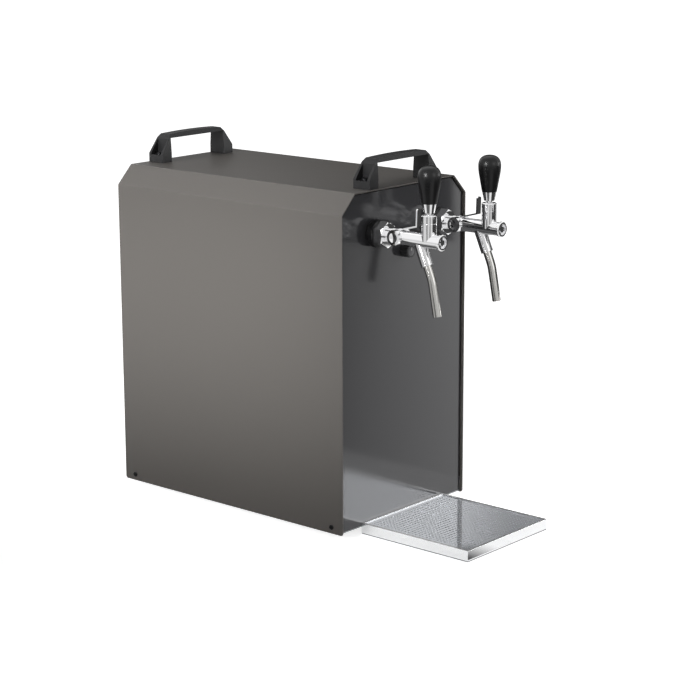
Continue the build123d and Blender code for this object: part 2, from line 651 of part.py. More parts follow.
def spout():
    """Bent spout tube with its bore and the small vent hole at the bend."""
    start = NIPPLE_L + SEAT_GAP
    places = [spout_point(start), spout_point(SPOUT_BEND_AT), spout_end()]
    path = FilletPolyline(*[Vector(0, y, z) for y, z in places], radius=SPOUT_BEND_R)
    section = Plane(origin=path @ 0, z_dir=path % 0) * (Circle(SPOUT_R) - Circle(SPOUT_BORE))
    bend_y, bend_z = spout_point(SPOUT_BEND_AT)
    return sweep(section, path=path) - rod_y(VENT_R, bend_y - 2 * SPOUT_R, bend_y, 0, bend_z)


# ---------------------------------------------------------------- tap: moving pieces
def lever_rod():
    """Ball, finger, neck, ferrule and stud of the pour lever, upright at rest."""
    ferrule_top = FERRULE_H + FERRULE_L
    rod = Pos(0, 0, BALL_H) * Sphere(BALL_R)
    rod += rod_z(FINGER_R, BALL_H - TIP_ARM, BALL_H)
    rod += Pos(0, 0, BALL_H - TIP_ARM) * Sphere(TIP_R)
    rod += turned_z([(0, BALL_H), (LEVER_NECK_R, BALL_H), (LEVER_NECK_R, FERRULE_H), (FERRULE_R0, FERRULE_H),
                     (FERRULE_R1, ferrule_top), (STUD_R, ferrule_top), (STUD_R, ferrule_top + STUD_L),
                     (0, ferrule_top + STUD_L)])
    return Pos(0, -LEVER_OUT, 0) * rod


def lever_knob():
    """Black moulded knob: tapered grip with a domed top."""
    low = FERRULE_H + FERRULE_L
    hole = STUD_R + FIT
    deep = low + STUD_L + SEAT_GAP
    grip = Spline((KNOB_R0, low), (KNOB_R0 + (KNOB_R1 - KNOB_R0) * 0.62, low + (KNOB_MAX_H - low) * 0.52),
                  (KNOB_R1, KNOB_MAX_H), tangents=[(0.2, 1), (0, 1)])
    dome = Spline((KNOB_R1, KNOB_MAX_H), (0, KNOB_TOP_H), tangents=[(0, 1), (-1, 0)],
                  tangent_scalars=[1.5, 1.3])
    core = Polyline((0, KNOB_TOP_H), (0, deep), (hole, deep), (hole, low), (KNOB_R0, low))
    profile = make_face([*grip.edges(), *dome.edges(), *core.edges()])
    return Pos(0, -LEVER_OUT, 0) * revolve(Plane.XZ * profile, Axis.Z)


def valve_plunger():
    """Sliding valve rod: guided head with the fingertip's groove, and a thin rod to the seal."""
    travel = TIP_ARM * radians(POUR_DEG)
    head_start = VALVE_SEAT_OUT + VALVE_SEAT_T + travel + 0.4
    rod = rod_y(PLUNGER_R, -PLUNGER_END, -head_start) + rod_y(PLUNGER_ROD_R, -head_start, -VALVE_SEAT_OUT + SEAL_T)
    half = TIP_R + GROOVE_PLAY
    floor = BALL_H - TIP_ARM - TIP_R - GROOVE_PLAY
    return rod - block(-PLUNGER_R, PLUNGER_R, -LEVER_OUT - half, -LEVER_OUT + half, floor, PLUNGER_R + 1)


def valve_seal():
    ring = rod_y(SEAL_R, -VALVE_SEAT_OUT, -VALVE_SEAT_OUT + SEAL_T)
    return ring - rod_y(PLUNGER_ROD_R, -VALVE_SEAT_OUT, -VALVE_SEAT_OUT + SEAL_T)


def flow_lever():
    """Spindle with a cross hole, and the bent strip with its upright thumb tab."""
    reach = PORT_HALF - PLUG_T - FIT
    spindle = rod_x(SPINDLE_R, -reach, reach, -PORT_OUT) - rod_y(INLET_BORE, -PORT_OUT - 9, -PORT_OUT + 9)
    line = [(-PORT_OUT - out, up) for out, up in (STRIP_ROOT, STRIP_NEAR, STRIP_TOP)]
    first = SPINDLE_R * 0.85 / hypot(*STRIP_ROOT)
    line.insert(0, (-PORT_OUT - STRIP_ROOT[0] * first, STRIP_ROOT[1] * first))
    strip = prism_x(band(line, STRIP_T), -STRIP_W / 2, STRIP_W / 2)
    tab_corners = strip.edges().filter_by(Axis.Y, tolerance=5).group_by(Axis.Z)[-1]
    return spindle + fillet(tab_corners, STRIP_W * 0.3)


# ---------------------------------------------------------------- thermostat
def thermostat_body():
    back = Y_PANEL + SHEET
    case = block(-THERMO_W / 2, THERMO_W / 2, back, back + THERMO_D, DIAL_Z - THERMO_H / 2, DIAL_Z + THERMO_H / 2)
    bush = rod_y(BUSH_R, Y_PANEL - SEAT_GAP, back, 0, DIAL_Z)
    return case + bush - rod_y(DIAL_SHAFT_R + FIT, Y_PANEL - 1, back + THERMO_D * 0.7, 0, DIAL_Z)


def thermostat_shaft():
    return rod_y(DIAL_SHAFT_R, Y_PANEL - DIAL_L * 0.7, Y_PANEL + SHEET + THERMO_D * 0.6, 0, DIAL_Z)


def thermostat_dial():
    """Round control knob with shallow flutes."""
    rear = Y_PANEL - 2 * SEAT_GAP
    dial = rod_y(DIAL_R, rear - DIAL_L, rear)
    dial = chamfer(dial.edges().sort_by(Axis.Y)[0], 1.0)
    for i in range(DIAL_FLUTES):
        angle = 2 * pi * i / DIAL_FLUTES
        out = DIAL_R + 0.9
        dial -= rod_y(1.5, rear - DIAL_L - 1, rear - 3, out * cos(angle), out * sin(angle))
    dial = Pos(0, 0, DIAL_Z) * dial
    return dial - rod_y(DIAL_SHAFT_R, Y_PANEL - DIAL_L * 0.7, Y_PANEL, 0, DIAL_Z)


# ---------------------------------------------------------------- drip tray
def tray_y():
    return Y_PANEL - TRAY_GAP - TRAY_D / 2


def tray_pan():
    """Folded pan: floor, walls, flat rim, inner lip and the ledge that carries the grid."""
    t = TRAY_SHEET
    lip_z = TRAY_H - RIM_LIP - t
    pan = Pos(0, 0, TRAY_PAD_H) * Box(TRAY_W, TRAY_D, t, align=BASE)
    pan += frame(TRAY_W, TRAY_D, 0, t, TRAY_PAD_H, TRAY_H)
    pan += frame(TRAY_W, TRAY_D, 0, RIM_W, TRAY_H - t, TRAY_H)
    pan += frame(TRAY_W, TRAY_D, RIM_W - t, RIM_W, lip_z, TRAY_H)
    pan += frame(TRAY_W, TRAY_D, RIM_W - t, RIM_W + LEDGE_W, lip_z, lip_z + t)
    return Pos(0, tray_y(), 0) * pan


def drip_grid():
    """Perforated plate that lies on the tray's ledge."""
    width, depth = TRAY_W - 2 * (RIM_W + SEAT_GAP), TRAY_D - 2 * (RIM_W + SEAT_GAP)
    across = int((width - 2 * GRID_BORDER) / GRID_PITCH)
    along = int((depth - 2 * GRID_BORDER) / GRID_PITCH)
    plate = Rectangle(width, depth) - GridLocations(GRID_PITCH, GRID_PITCH, across, along) * Rectangle(
        GRID_HOLE, GRID_HOLE)
    return Pos(0, tray_y(), TRAY_H - RIM_LIP) * extrude(plate, amount=GRID_T)


def tray_pads():
    x, y = TRAY_W / 2 - TRAY_PAD_IN, TRAY_D / 2 - TRAY_PAD_IN
    return [rod_z(TRAY_PAD_R, 0, TRAY_PAD_H, a, tray_y() + b) for a in (-x, x) for b in (-y, y)]


# ---------------------------------------------------------------- cooling parts
def inner_frame():
    """Bridge of folded sheet that stands on the base pan and carries the insulated block."""
    outer, inner = FRAME_HALF, FRAME_HALF - SHEET
    top = FRAME_TOP
    outline = [(-outer, PAN_TOP), (-outer, top), (outer, top), (outer, PAN_TOP), (inner, PAN_TOP),
               (inner, top - SHEET), (-inner, top - SHEET), (-inner, PAN_TOP)]
    bridge = prism_y(outline, FOAM_Y0, FOAM_Y0 + FOAM_D)
    return bridge - rod_z(SUCTION_R + SEAT_GAP, top - 2 * SHEET, top + 1, *suction_xy())


def line_holes(shape, radius, y0, y1):
    for x in (-TAP_X, TAP_X):
        shape -= rod_y(radius, y0, y1, x, TAP_Z)
    return shape


def chill_block():
    """Cast aluminium block; the beer and refrigerant coils are cast in, so it is one solid."""
    casting = block(-BLOCK_W / 2, BLOCK_W / 2, BLOCK_Y0, BLOCK_Y1, FOAM_Z0 + FOAM_T, FOAM_Z0 + FOAM_T + BLOCK_H)
    casting = chamfer(casting.edges().filter_by(Axis.Y), 6.0)
    casting = line_holes(casting, LINE_R + FIT, BLOCK_Y0 - 1, BLOCK_Y0 + LINE_DEEP)
    casting = line_holes(casting, LINE_R + FIT, BLOCK_Y1 - LINE_DEEP, BLOCK_Y1 + 1)
    casting -= rod_y(SENSOR_R + FIT, BLOCK_Y0 - 1, BLOCK_Y0 + LINE_DEEP, 0, DIAL_Z)
    return casting - rod_z(SUCTION_R + FIT, 0, FOAM_Z0 + FOAM_T + LINE_DEEP, *suction_xy())


def suction_xy():
    return COMP_R * 0.55, Y_FRONT + COMP_Y


def insulation():
    """Foam box round the block, with holes for the beer lines."""
    foam = block(-FOAM_W / 2, FOAM_W / 2, FOAM_Y0, FOAM_Y0 + FOAM_D, FOAM_Z0, FOAM_Z0 + FOAM_H)
    foam = chamfer(foam.edges().filter_by(Axis.Y).group_by(Axis.Z)[-1], 12.0)
    core = block(-BLOCK_W / 2, BLOCK_W / 2, BLOCK_Y0, BLOCK_Y1, FOAM_Z0 + FOAM_T, FOAM_Z0 + FOAM_T + BLOCK_H)
    foam -= core
    foam = line_holes(foam, LINE_R + SEAT_GAP, FOAM_Y0 - 1, FOAM_Y0 + FOAM_D + 1)
    foam -= rod_y(SENSOR_R + SEAT_GAP, FOAM_Y0 - 1, BLOCK_Y0 + 1, 0, DIAL_Z)
    return foam - rod_z(SUCTION_R + SEAT_GAP, 0, FOAM_Z0 + FOAM_T + 1, *suction_xy())


def beer_line(x, rear):
    if rear:
        return rod_y(LINE_R, BLOCK_Y1 - LINE_DEEP, Y_REAR - INLET_BACK + LINE_DEEP, x, TAP_Z)
    return rod_y(LINE_R, Y_PANEL + SHANK_BACK - LINE_DEEP, BLOCK_Y0 + LINE_DEEP, x, TAP_Z)


def sensor_tube():
    return rod_y(SENSOR_R, Y_PANEL + SHEET + THERMO_D, BLOCK_Y0 + LINE_DEEP, 0, DIAL_Z)


def compressor_z():
    """Underside of the compressor's mounting plate."""
    return PAN_TOP + GROMMET_H


def compressor_mounts():
    x, y = COMP_PLATE_W / 2 - 14, COMP_PLATE_D / 2 - 14
    return [(a, Y_FRONT + COMP_Y + b) for a in (-x, x) for b in (-y, y)]


def compressor():
    """Hermetic steel shell: two drawn domes, a welded seam and a mounting plate."""
    z0 = compressor_z() + COMP_PLATE_T
    mid = z0 + COMP_H * 0.55
    top = z0 + COMP_H
    step = COMP_R * 0.55
    shell = turned_z([(0, z0), (step, z0), (COMP_R * 0.86, z0 + COMP_DOME * 0.3), (COMP_R, z0 + COMP_DOME),
                      (COMP_R, mid), (COMP_R + COMP_SEAM, mid), (COMP_R + COMP_SEAM, mid + COMP_SEAM),
                      (COMP_R, mid + COMP_SEAM), (COMP_R, top - COMP_DOME), (COMP_R * 0.86, top - COMP_DOME * 0.3),
                      (step, top), (0, top)])
    plate = block(-COMP_PLATE_W / 2, COMP_PLATE_W / 2, -COMP_PLATE_D / 2, COMP_PLATE_D / 2,
                  compressor_z(), z0)
    plate = fillet(plate.edges().filter_by(Axis.Z), 12.0)
    unit = Pos(0, Y_FRONT + COMP_Y, 0) * (shell + plate)
    for x, y in compressor_mounts():
        unit -= rod_z(GROMMET_R * 0.55, compressor_z() - 1, z0 + 1, x, y)
    return unit


def grommets():
    """Stepped rubber grommets: the neck passes the plate, the wide part stands on the pan."""
    z = compressor_z()
    neck = GROMMET_R * 0.55 - FIT
    out = []
    for x, y in compressor_mounts():
        out.append(rod_z(GROMMET_R, PAN_TOP, z, x, y) + rod_z(neck, z, z + COMP_PLATE_T + 2, x, y))
    return out


def start_relay():
    x0 = -COMP_R - COMP_SEAM - RELAY_W
    y = Y_FRONT + COMP_Y
    z0 = compressor_z() + COMP_PLATE_T + COMP_DOME
    cover = block(x0, -COMP_R * 0.8, y - RELAY_D / 2, y + RELAY_D / 2, z0, z0 + RELAY_H * 0.7)
    return cover - rod_z(COMP_R + FIT, 0, CAB_H, 0, y)


def condenser():
    """Finned pack with side plates that stand on the base pan, and the tube's return bends."""
    y0 = Y_FRONT + COND_Y
    y1 = y0 + COND_D
    core0 = y0 + (COND_D - COND_CORE_D) / 2
    pitch = (COND_W - COND_FIN_T) / COND_FINS
    outline = []
    for i in range(COND_FINS + 1):
        x = -COND_W / 2 + i * pitch
        outline += [(x, y0), (x + COND_FIN_T, y0)]
        if i < COND_FINS:
            outline += [(x + COND_FIN_T, core0), (x + pitch, core0)]
    far = [(x, y1 if y == y0 else core0 + COND_CORE_D) for x, y in reversed(outline)]
    pack = Pos(0, 0, PAN_TOP + 8) * extrude(make_face(Polyline(*outline, *far, close=True)), amount=COND_H - 8)
    for x in (-COND_W / 2 - SHEET, COND_W / 2):
        pack += block(x, x + SHEET, y0, y1, PAN_TOP, PAN_TOP + COND_H)
    gap = COND_H / (2 * COND_TURNS)
    middle = (y0 + y1) / 2
    for i in range(COND_TURNS):
        z = PAN_TOP + gap * (2 * i + 0.5)
        bend = Pos(COND_W / 2 + SHEET, middle, z + gap / 2) * Rot(90, 0, 0) * Torus(gap / 2, COND_TUBE_R)
        pack += bend & block(COND_W / 2 + SHEET, CAB_W / 2, y0, y1, 0, WRAP_TOP)
    return pack


def fan_shroud():
    """Square plate on the condenser with a round duct for the fan."""
    y1 = Y_FRONT + COND_Y
    plate = block(-COND_W / 2, COND_W / 2, y1 - SHROUD_T, y1, FAN_Z - COND_W / 2, FAN_Z + COND_W / 2)
    duct = rod_y(FAN_R + FAN_TIP_GAP + SHROUD_T, y1 - SHROUD_T - SHROUD_DUCT, y1, 0, FAN_Z)
    return plate + duct - rod_y(FAN_R + FAN_TIP_GAP, y1 - SHROUD_DUCT * 2, y1 + 1, 0, FAN_Z)


def motor_face():
    return FAN_Y - FAN_DEPTH / 2 - 3.0


def fan_motor():
    """Motor can on three struts that end on the duct's edge, with its shaft."""
    duct_end = Y_FRONT + COND_Y - SHROUD_T - SHROUD_DUCT
    can = rod_y(MOTOR_R, motor_face() - MOTOR_L, motor_face())
    can = chamfer(can.edges().sort_by(Axis.Y)[0], 3.0)
    can += rod_y(MOTOR_SHAFT_R, motor_face(), FAN_Y + FAN_DEPTH / 2)
    reach = FAN_R + FAN_TIP_GAP + SHROUD_T
    for i in range(MOTOR_STRUTS):
        strut = block(0, reach, duct_end - 4.0, duct_end, -5.0, 5.0)
        can += Rot(0, 90 + 360 * i / MOTOR_STRUTS, 0) * strut
    return Pos(0, 0, FAN_Z) * can


def fan_rotor():
    """Hub with pitched blades, cut to the fan's radius."""
    rotor = rod_y(FAN_HUB_R, FAN_Y - FAN_DEPTH / 2, FAN_Y + FAN_DEPTH / 2)
    reach = block(FAN_HUB_R - 4, FAN_R + 5, -FAN_BLADE_T / 2, FAN_BLADE_T / 2, -28.0, 28.0)
    blade = Pos(0, FAN_Y, 0) * Rot(90 - FAN_PITCH, 0, 0) * reach
    slab = rod_y(FAN_R, FAN_Y - FAN_DEPTH / 2, FAN_Y + FAN_DEPTH / 2)
    for i in range(FAN_BLADES):
        rotor += (Rot(0, 360 * i / FAN_BLADES, 0) * blade) & slab
    rotor -= rod_y(MOTOR_SHAFT_R + FIT, FAN_Y - FAN_DEPTH, FAN_Y + FAN_DEPTH)
    return Pos(0, 0, FAN_Z) * rotor


def pipe(points, radius, bend):
    """Round pipe along straight runs joined by tangent arcs."""
    path = FilletPolyline(*[Vector(*p) for p in points], radius=bend)
    return sweep(Plane(origin=path @ 0, z_dir=path % 0) * Circle(radius), path=path)


def suction_pipe():
    """From the cold block down to the compressor's dome."""
    x, y = suction_xy()
    return rod_z(SUCTION_R, compressor_z() + COMP_PLATE_T + COMP_H, FOAM_Z0 + FOAM_T + LINE_DEEP, x, y)


def discharge_pipe():
    """From the compressor's dome up, back and to the condenser's top."""
    dome = compressor_z() + COMP_PLATE_T + COMP_H
    high = FRAME_TOP - SHEET - 14.0
    y0 = Y_FRONT + COMP_Y
    y1 = Y_FRONT + COND_Y + COND_D / 2
    x = -COMP_R * 0.35
    return pipe([(x, y0, dome), (x, y0, high), (x, y1, high), (x, y1, PAN_TOP + COND_H)], PIPE_R, 12.0)


def filter_drier():
    """Copper drier that stands on the base pan's floor beside the compressor."""
    low, r = PAN_TOP, DRIER_R
    x = FRAME_HALF - SHEET - DRIER_R - SEAT_GAP
    shape = turned_z([(0, low), (r * 0.4, low), (r * 0.4, low + 10), (r, low + 18), (r, low + DRIER_L),
                      (r * 0.4, low + DRIER_L + 8), (r * 0.4, low + DRIER_L + 18), (0, low + DRIER_L + 18)])
    return Pos(x, Y_FRONT + COMP_Y + COMP_R, 0) * shape


# ---------------------------------------------------------------- rear connections
def product_inlet(x):
    """Bulkhead push-in fitting: hexagon outside, back nut side inside, bored at both ends."""
    tip = Y_REAR + INLET_OUT
    fitting = rod_y(INLET_R, Y_REAR - INLET_BACK, tip)
    fitting += hex_y(INLET_FLANGE_AF, Y_REAR, Y_REAR + INLET_FLANGE_T)
    fitting += hex_y(INLET_FLANGE_AF, Y_REAR - SHEET - INLET_FLANGE_T, Y_REAR - SHEET)
    fitting = chamfer(fitting.edges().sort_by(Axis.Y)[-1], 1.2)
    fitting -= rod_y(INLET_BORE_R, tip - INLET_BORE_L, tip)
    fitting -= rod_y(LINE_R + FIT, Y_REAR - INLET_BACK - 1, Y_REAR - INLET_BACK + LINE_DEEP)
    return Pos(x, 0, TAP_Z) * (fitting - rod_y(INLET_BORE_R * 0.6, Y_REAR - INLET_BACK, tip))


def mains_inlet():
    """Appliance inlet: flange, housing with its hollow, and three blade pins."""
    w, h = MAINS_W / 2, MAINS_H / 2
    fw, fh = MAINS_FLANGE_W / 2, MAINS_FLANGE_H / 2
    housing = block(-w, w, -MAINS_DEEP, 0, -h, h) + block(-fw, fw, 0, MAINS_FLANGE_T, -fh, fh)
    wall = MAINS_WALL
    housing -= block(wall - w, w - wall, wall - MAINS_DEEP, MAINS_FLANGE_T + 1, wall - h, h - wall)
    for x, z in ((-7.0, -2.0), (0.0, 2.0), (7.0, -2.0)):
        housing += block(x - 1, x + 1, -MAINS_DEEP, wall - MAINS_DEEP + MAINS_PIN_L, z - 2, z + 2)
    return Pos(MAINS_X, Y_REAR, MAINS_Z) * housing


def switch_bezel():
    w, h, f = SWITCH_W / 2, SWITCH_H / 2, SWITCH_FLANGE
    case = block(-w, w, -SWITCH_DEEP, 0, -h, h) + block(-w - f, w + f, 0, f, -h - f, h + f)
    case -= block(f - w, w - f, f - SWITCH_DEEP, f + 1, f - h, h - f)
    reach = rocker_pin_reach() + SEAT_GAP / 2
    case -= rod_x(ROCKER_PIN_R + FIT, -reach, reach, rocker_pivot()[0] - Y_REAR)
    return Pos(SWITCH_X, Y_REAR, MAINS_Z) * case


def rocker_pin_reach():
    """The rocker's pins end inside the bezel's side walls."""
    return SWITCH_W / 2 - SWITCH_FLANGE / 2


def rocker_pivot():
    """(y, z) of the rocker's hinge axis."""
    return Y_REAR - 1.0, MAINS_Z


def power_rocker():
    """Rocker paddle with its lower half pressed in, on stub pins."""
    half_x = SWITCH_W / 2 - SWITCH_FLANGE - SEAT_GAP
    half_z = SWITCH_H / 2 - SWITCH_FLANGE - 1.0
    y, z = rocker_pivot()
    lift = 3.4
    paddle = prism_x([(-5.0, -3.0), (-1.0, -half_z), (lift, -half_z), (1.6, 0), (lift, half_z), (-1.0, half_z),
                      (-5.0, 3.0)], -half_x, half_x)
    paddle += rod_x(ROCKER_PIN_R, -rocker_pin_reach(), rocker_pin_reach())
    return Pos(SWITCH_X, y, z) * Rot(-ROCKER_TILT, 0, 0) * paddle


# ---------------------------------------------------------------- assembly
def build():
    keep("outer_wrap", outer_wrap())
    keep("cover_screws", *cover_screws())
    keep("base_pan", base_pan())
    keep("rubber_feet", *rubber_feet())
    keep("front_panel", front_panel())
    keep("rear_panel", rear_panel())
    for name, y in zip(("front_handle", "rear_handle"), handle_ys()):
        keep(name, Pos(0, y, WRAP_TOP) * handle())
    keep("handle_screws", *handle_screws())

    places = [Pos(x, Y_PANEL, TAP_Z) for x in (-TAP_X, TAP_X)]
    for side, place in zip(("left", "right"), places):
        for name, make in (("tap_body", tap_body), ("bonnet_nut", bonnet), ("spout", spout),
                           ("lever_rod", lever_rod), ("lever_knob", lever_knob),
                           ("valve_plunger", valve_plunger), ("valve_seal", valve_seal),
                           ("flow_lever", flow_lever)):
            keep(f"{side}_{name}", place * make())
    for name, make in (("collars", collar), ("shanks", shank), ("shank_back_nuts", back_nut),
                       ("shank_washers", washer), ("coupling_nuts", coupling_nut), ("end_caps", end_cap),
                       ("spout_sleeves", spout_sleeve)):
        keep(name, *[place * make() for place in places])
    keep("spindle_plugs", *[place * plug for place in places for plug in spindle_plugs()])
    keep("front_beer_lines", beer_line(-TAP_X, False), beer_line(TAP_X, False))
    keep("rear_beer_lines", beer_line(-TAP_X, True), beer_line(TAP_X, True))
    keep("product_inlets", product_inlet(-TAP_X), product_inlet(TAP_X))

    keep("thermostat_body", thermostat_body())
    keep("thermostat_shaft", thermostat_shaft())
    keep("thermostat_dial", thermostat_dial())
    keep("sensor_tube", sensor_tube())
    keep("drip_pan", tray_pan())
    keep("drip_grid", drip_grid())
    keep("drip_pan_pads", *tray_pads())
    keep("inner_frame", inner_frame())
    keep("chill_block", chill_block())
    keep("insulation", insulation())
    keep("compressor", compressor())
    keep("compressor_grommets", *grommets())
    keep("start_relay", start_relay())
    keep("condenser", condenser())
    keep("fan_shroud", fan_shroud())
    keep("fan_motor", fan_motor())
    keep("fan_rotor", fan_rotor())
    keep("suction_pipe", suction_pipe())
    keep("discharge_pipe", discharge_pipe())
    keep("filter_drier", filter_drier())
    keep("mains_inlet", mains_inlet())
    keep("switch_bezel", switch_bezel())
    keep("power_rocker", power_rocker())


build()
os.makedirs("parts", exist_ok=True)
for name, shape in parts.items():
    export_step(shape, f"parts/{name}.step")
print(len(parts), "sub-parts written")
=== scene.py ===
import logging
from dataclasses import dataclass, field
from enum import Enum
from math import cos, pi, radians, sin, sqrt
from typing import Iterable, Sequence

import bmesh
import bpy
from mathutils import Matrix, Vector


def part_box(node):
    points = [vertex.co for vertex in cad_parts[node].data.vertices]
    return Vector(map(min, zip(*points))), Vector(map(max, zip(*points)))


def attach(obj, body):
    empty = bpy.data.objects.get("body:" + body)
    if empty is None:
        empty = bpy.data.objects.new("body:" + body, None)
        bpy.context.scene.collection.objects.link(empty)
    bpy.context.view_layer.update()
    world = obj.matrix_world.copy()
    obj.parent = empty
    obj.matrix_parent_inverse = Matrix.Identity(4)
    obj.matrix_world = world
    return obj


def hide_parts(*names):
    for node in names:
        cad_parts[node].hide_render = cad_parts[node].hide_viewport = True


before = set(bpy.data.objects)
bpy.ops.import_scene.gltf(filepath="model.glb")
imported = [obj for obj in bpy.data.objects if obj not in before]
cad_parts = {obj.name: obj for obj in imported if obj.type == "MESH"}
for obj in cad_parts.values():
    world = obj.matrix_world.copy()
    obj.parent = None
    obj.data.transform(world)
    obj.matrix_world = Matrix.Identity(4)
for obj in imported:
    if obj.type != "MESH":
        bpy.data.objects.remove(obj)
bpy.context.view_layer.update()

LOG = logging.getLogger("beer_chiller")
MM = 0.001
WHITE = (1.0, 1.0, 1.0, 1.0)
SAME_POINT_M = 1e-7  # points of a new piece nearer than this are one
NODE_WELD_M = 1e-6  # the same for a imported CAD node
CREASE_DEG = 30.0  # edges sharper than this stay hard, or are rounded
FLAT_DEG = 0.3  # faces that meet at less than this count as one flat face
FLAT_WEIGHT = 80  # how far flats decide the shading beside a rounding

Point = tuple[float, float, float]
Pair = tuple[float, float]
Colour = tuple[float, float, float, float]
Piece = bpy.types.Object
Node = bpy.types.Node
Socket = bpy.types.NodeSocket
Tree = bpy.types.NodeTree


# ------------------------------------------------------------------ shared helpers
def linear(code: str) -> Colour:
    """Turns an sRGB hex colour into linear RGBA.

    Args:
        code: six hex digits, with or without a leading #.

    Returns:
        Linear red, green, blue and an alpha of 1.
    """
    code = code.lstrip("#")
    channels = [int(code[i:i + 2], 16) / 255 for i in (0, 2, 4)]
    # the numbers are those of the sRGB curve
    bright = [c / 12.92 if c <= 0.04045 else ((c + 0.055) / 1.055) ** 2.4 for c in channels]
    return (bright[0], bright[1], bright[2], 1.0)


def toned(code: str, share: float) -> Colour:
    """Gives a lighter or darker tone of a colour.

    Args:
        code: sRGB hex colour.
        share: below 1 for darker, above 1 for lighter.

    Returns:
        The tone as linear RGBA.
    """
    red, green, blue, alpha = linear(code)
    return (red * share, green * share, blue * share, alpha)


def put(tree: Tree, kind: str, inputs: dict[str | int, object] | None = None,
        **settings: object) -> Node:
    """Adds one node with its settings, values and links.

    Args:
        tree: node tree that gets the node.
        kind: Blender's type name of the node, without its leading ShaderNode.
        inputs: socket name or number to a value, or to another node's output socket.
        **settings: attributes of the node itself.

    Returns:
        The new node.
    """
    node = tree.nodes.new("ShaderNode" + kind)
    for name, value in settings.items():
        setattr(node, name, value)
    for key, value in (inputs or {}).items():
        if isinstance(value, Socket):
            tree.links.new(value, node.inputs[key])
        else:
            node.inputs[key].default_value = value
    return node


def dress(piece: Piece, material: bpy.types.Material) -> None:
    """Gives every material slot of a piece one finish.

    Args:
        piece: object to finish.
        material: finish to assign.
    """
    if not piece.material_slots:
        piece.data.materials.append(material)
    for slot in piece.material_slots:
        slot.material = material


def add_mesh(name: str, points: Iterable[Point], faces: Iterable[Sequence[int]]) -> Piece:
    """Makes a mesh object with smooth shading across shallow edges.

    Args:
        name: name of the piece.
        points: vertices in metres, in the shared frame.
        faces: vertex numbers of each face.

    Returns:
        The new object.
    """
    mesh = bpy.data.meshes.new(name)
    mesh.from_pydata(list(points), [], list(faces))
    work = bmesh.new()
    work.from_mesh(mesh)
    bmesh.ops.remove_doubles(work, verts=work.verts, dist=SAME_POINT_M)
    bmesh.ops.recalc_face_normals(work, faces=work.faces)
    work.to_mesh(mesh)
    work.free()
    mesh.polygons.foreach_set("use_smooth", [True] * len(mesh.polygons))
    mesh.set_sharp_from_angle(angle=radians(CREASE_DEG))
    piece = bpy.data.objects.new(name, mesh)
    bpy.context.scene.collection.objects.link(piece)
    return piece


def lathe(name: str, profile: Sequence[Pair], centre: Point, axis: Point, steps: int) -> Piece:
    """Turns a closed outline about an axis.

    Args:
        name: name of the piece.
        profile: (radius, height) pairs in mm, in order round the closed outline.
        centre: foot of the axis in mm.
        axis: direction in which height grows.
        steps: segments of a full turn.

    Returns:
        The turned piece.
    """
    turn = Vector((0, 0, 1)).rotation_difference(Vector(axis)).to_matrix()
    foot = Vector(centre)
    points, faces = [], []
    count = len(profile)
    for i in range(steps):
        angle = 2 * pi * i / steps
        for radius, height in profile:
            spot = foot + turn @ Vector((radius * cos(angle), radius * sin(angle), height))
            points.append(tuple(spot * MM))
        ahead = (i + 1) % steps
        for k in range(count):
            nxt = (k + 1) % count
            faces.append((i * count + k, ahead * count + k, ahead * count + nxt, i * count + nxt))
    return add_mesh(name, points, faces)


def block(name: str, low: Point, high: Point) -> Piece:
    """Makes a plain bar.

    Args:
        name: name of the piece.
        low: lowest corner in mm.
        high: highest corner in mm.

    Returns:
        The bar.
    """
    points = [(x * MM, y * MM, z * MM) for x in (low[0], high[0]) for y in (low[1], high[1])
              for z in (low[2], high[2])]
    faces = [(0, 1, 3, 2), (4, 6, 7, 5), (0, 4, 5, 1), (2, 3, 7, 6), (0, 2, 6, 4), (1, 5, 7, 3)]
    return add_mesh(name, points, faces)


def soften(piece: Piece, radius_mm: float, steps: int) -> None:
    """Rounds the edges of a piece made of flat faces.

    Args:
        piece: object to round.
        radius_mm: size of the rounding.
        steps: segments of the rounding.
    """
    weld = piece.modifiers.new("weld", "WELD")
    weld.merge_threshold = NODE_WELD_M
    flat = piece.modifiers.new("join_flat_faces", "DECIMATE")
    flat.decimate_type = "DISSOLVE"
    flat.angle_limit = radians(FLAT_DEG)
    bevel = piece.modifiers.new("edge_rounding", "BEVEL")
    bevel.width = radius_mm * MM
    bevel.segments = steps
    bevel.limit_method = "ANGLE"
    bevel.angle_limit = radians(CREASE_DEG)
    flatten = piece.modifiers.new("keep_flats_flat", "WEIGHTED_NORMAL")
    flatten.weight = FLAT_WEIGHT
    piece.data.polygons.foreach_set("use_smooth", [True] * len(piece.data.polygons))


# ------------------------------------------------------------------ finishes
class Finish:
    """Base of all finishes: makes its material once and hands it out again."""

    name: str
    made: dict[str, bpy.types.Material] = {}

    def material(self) -> bpy.types.Material:
        """Makes the material when it is first asked for.

        Returns:
            The finish as a Blender material.
        """
        key = repr(self)
        if key not in Finish.made:
            made = bpy.data.materials.new(self.name)
            made.use_nodes = True
            made.node_tree.nodes.clear()
            shader = self.shade(made.node_tree)
            put(made.node_tree, "OutputMaterial", {"Surface": shader.outputs[0]})
            Finish.made[key] = made
        return Finish.made[key]

    def shade(self, tree: Tree) -> Node:
        """Builds the node tree and returns its shader node."""
        raise NotImplementedError


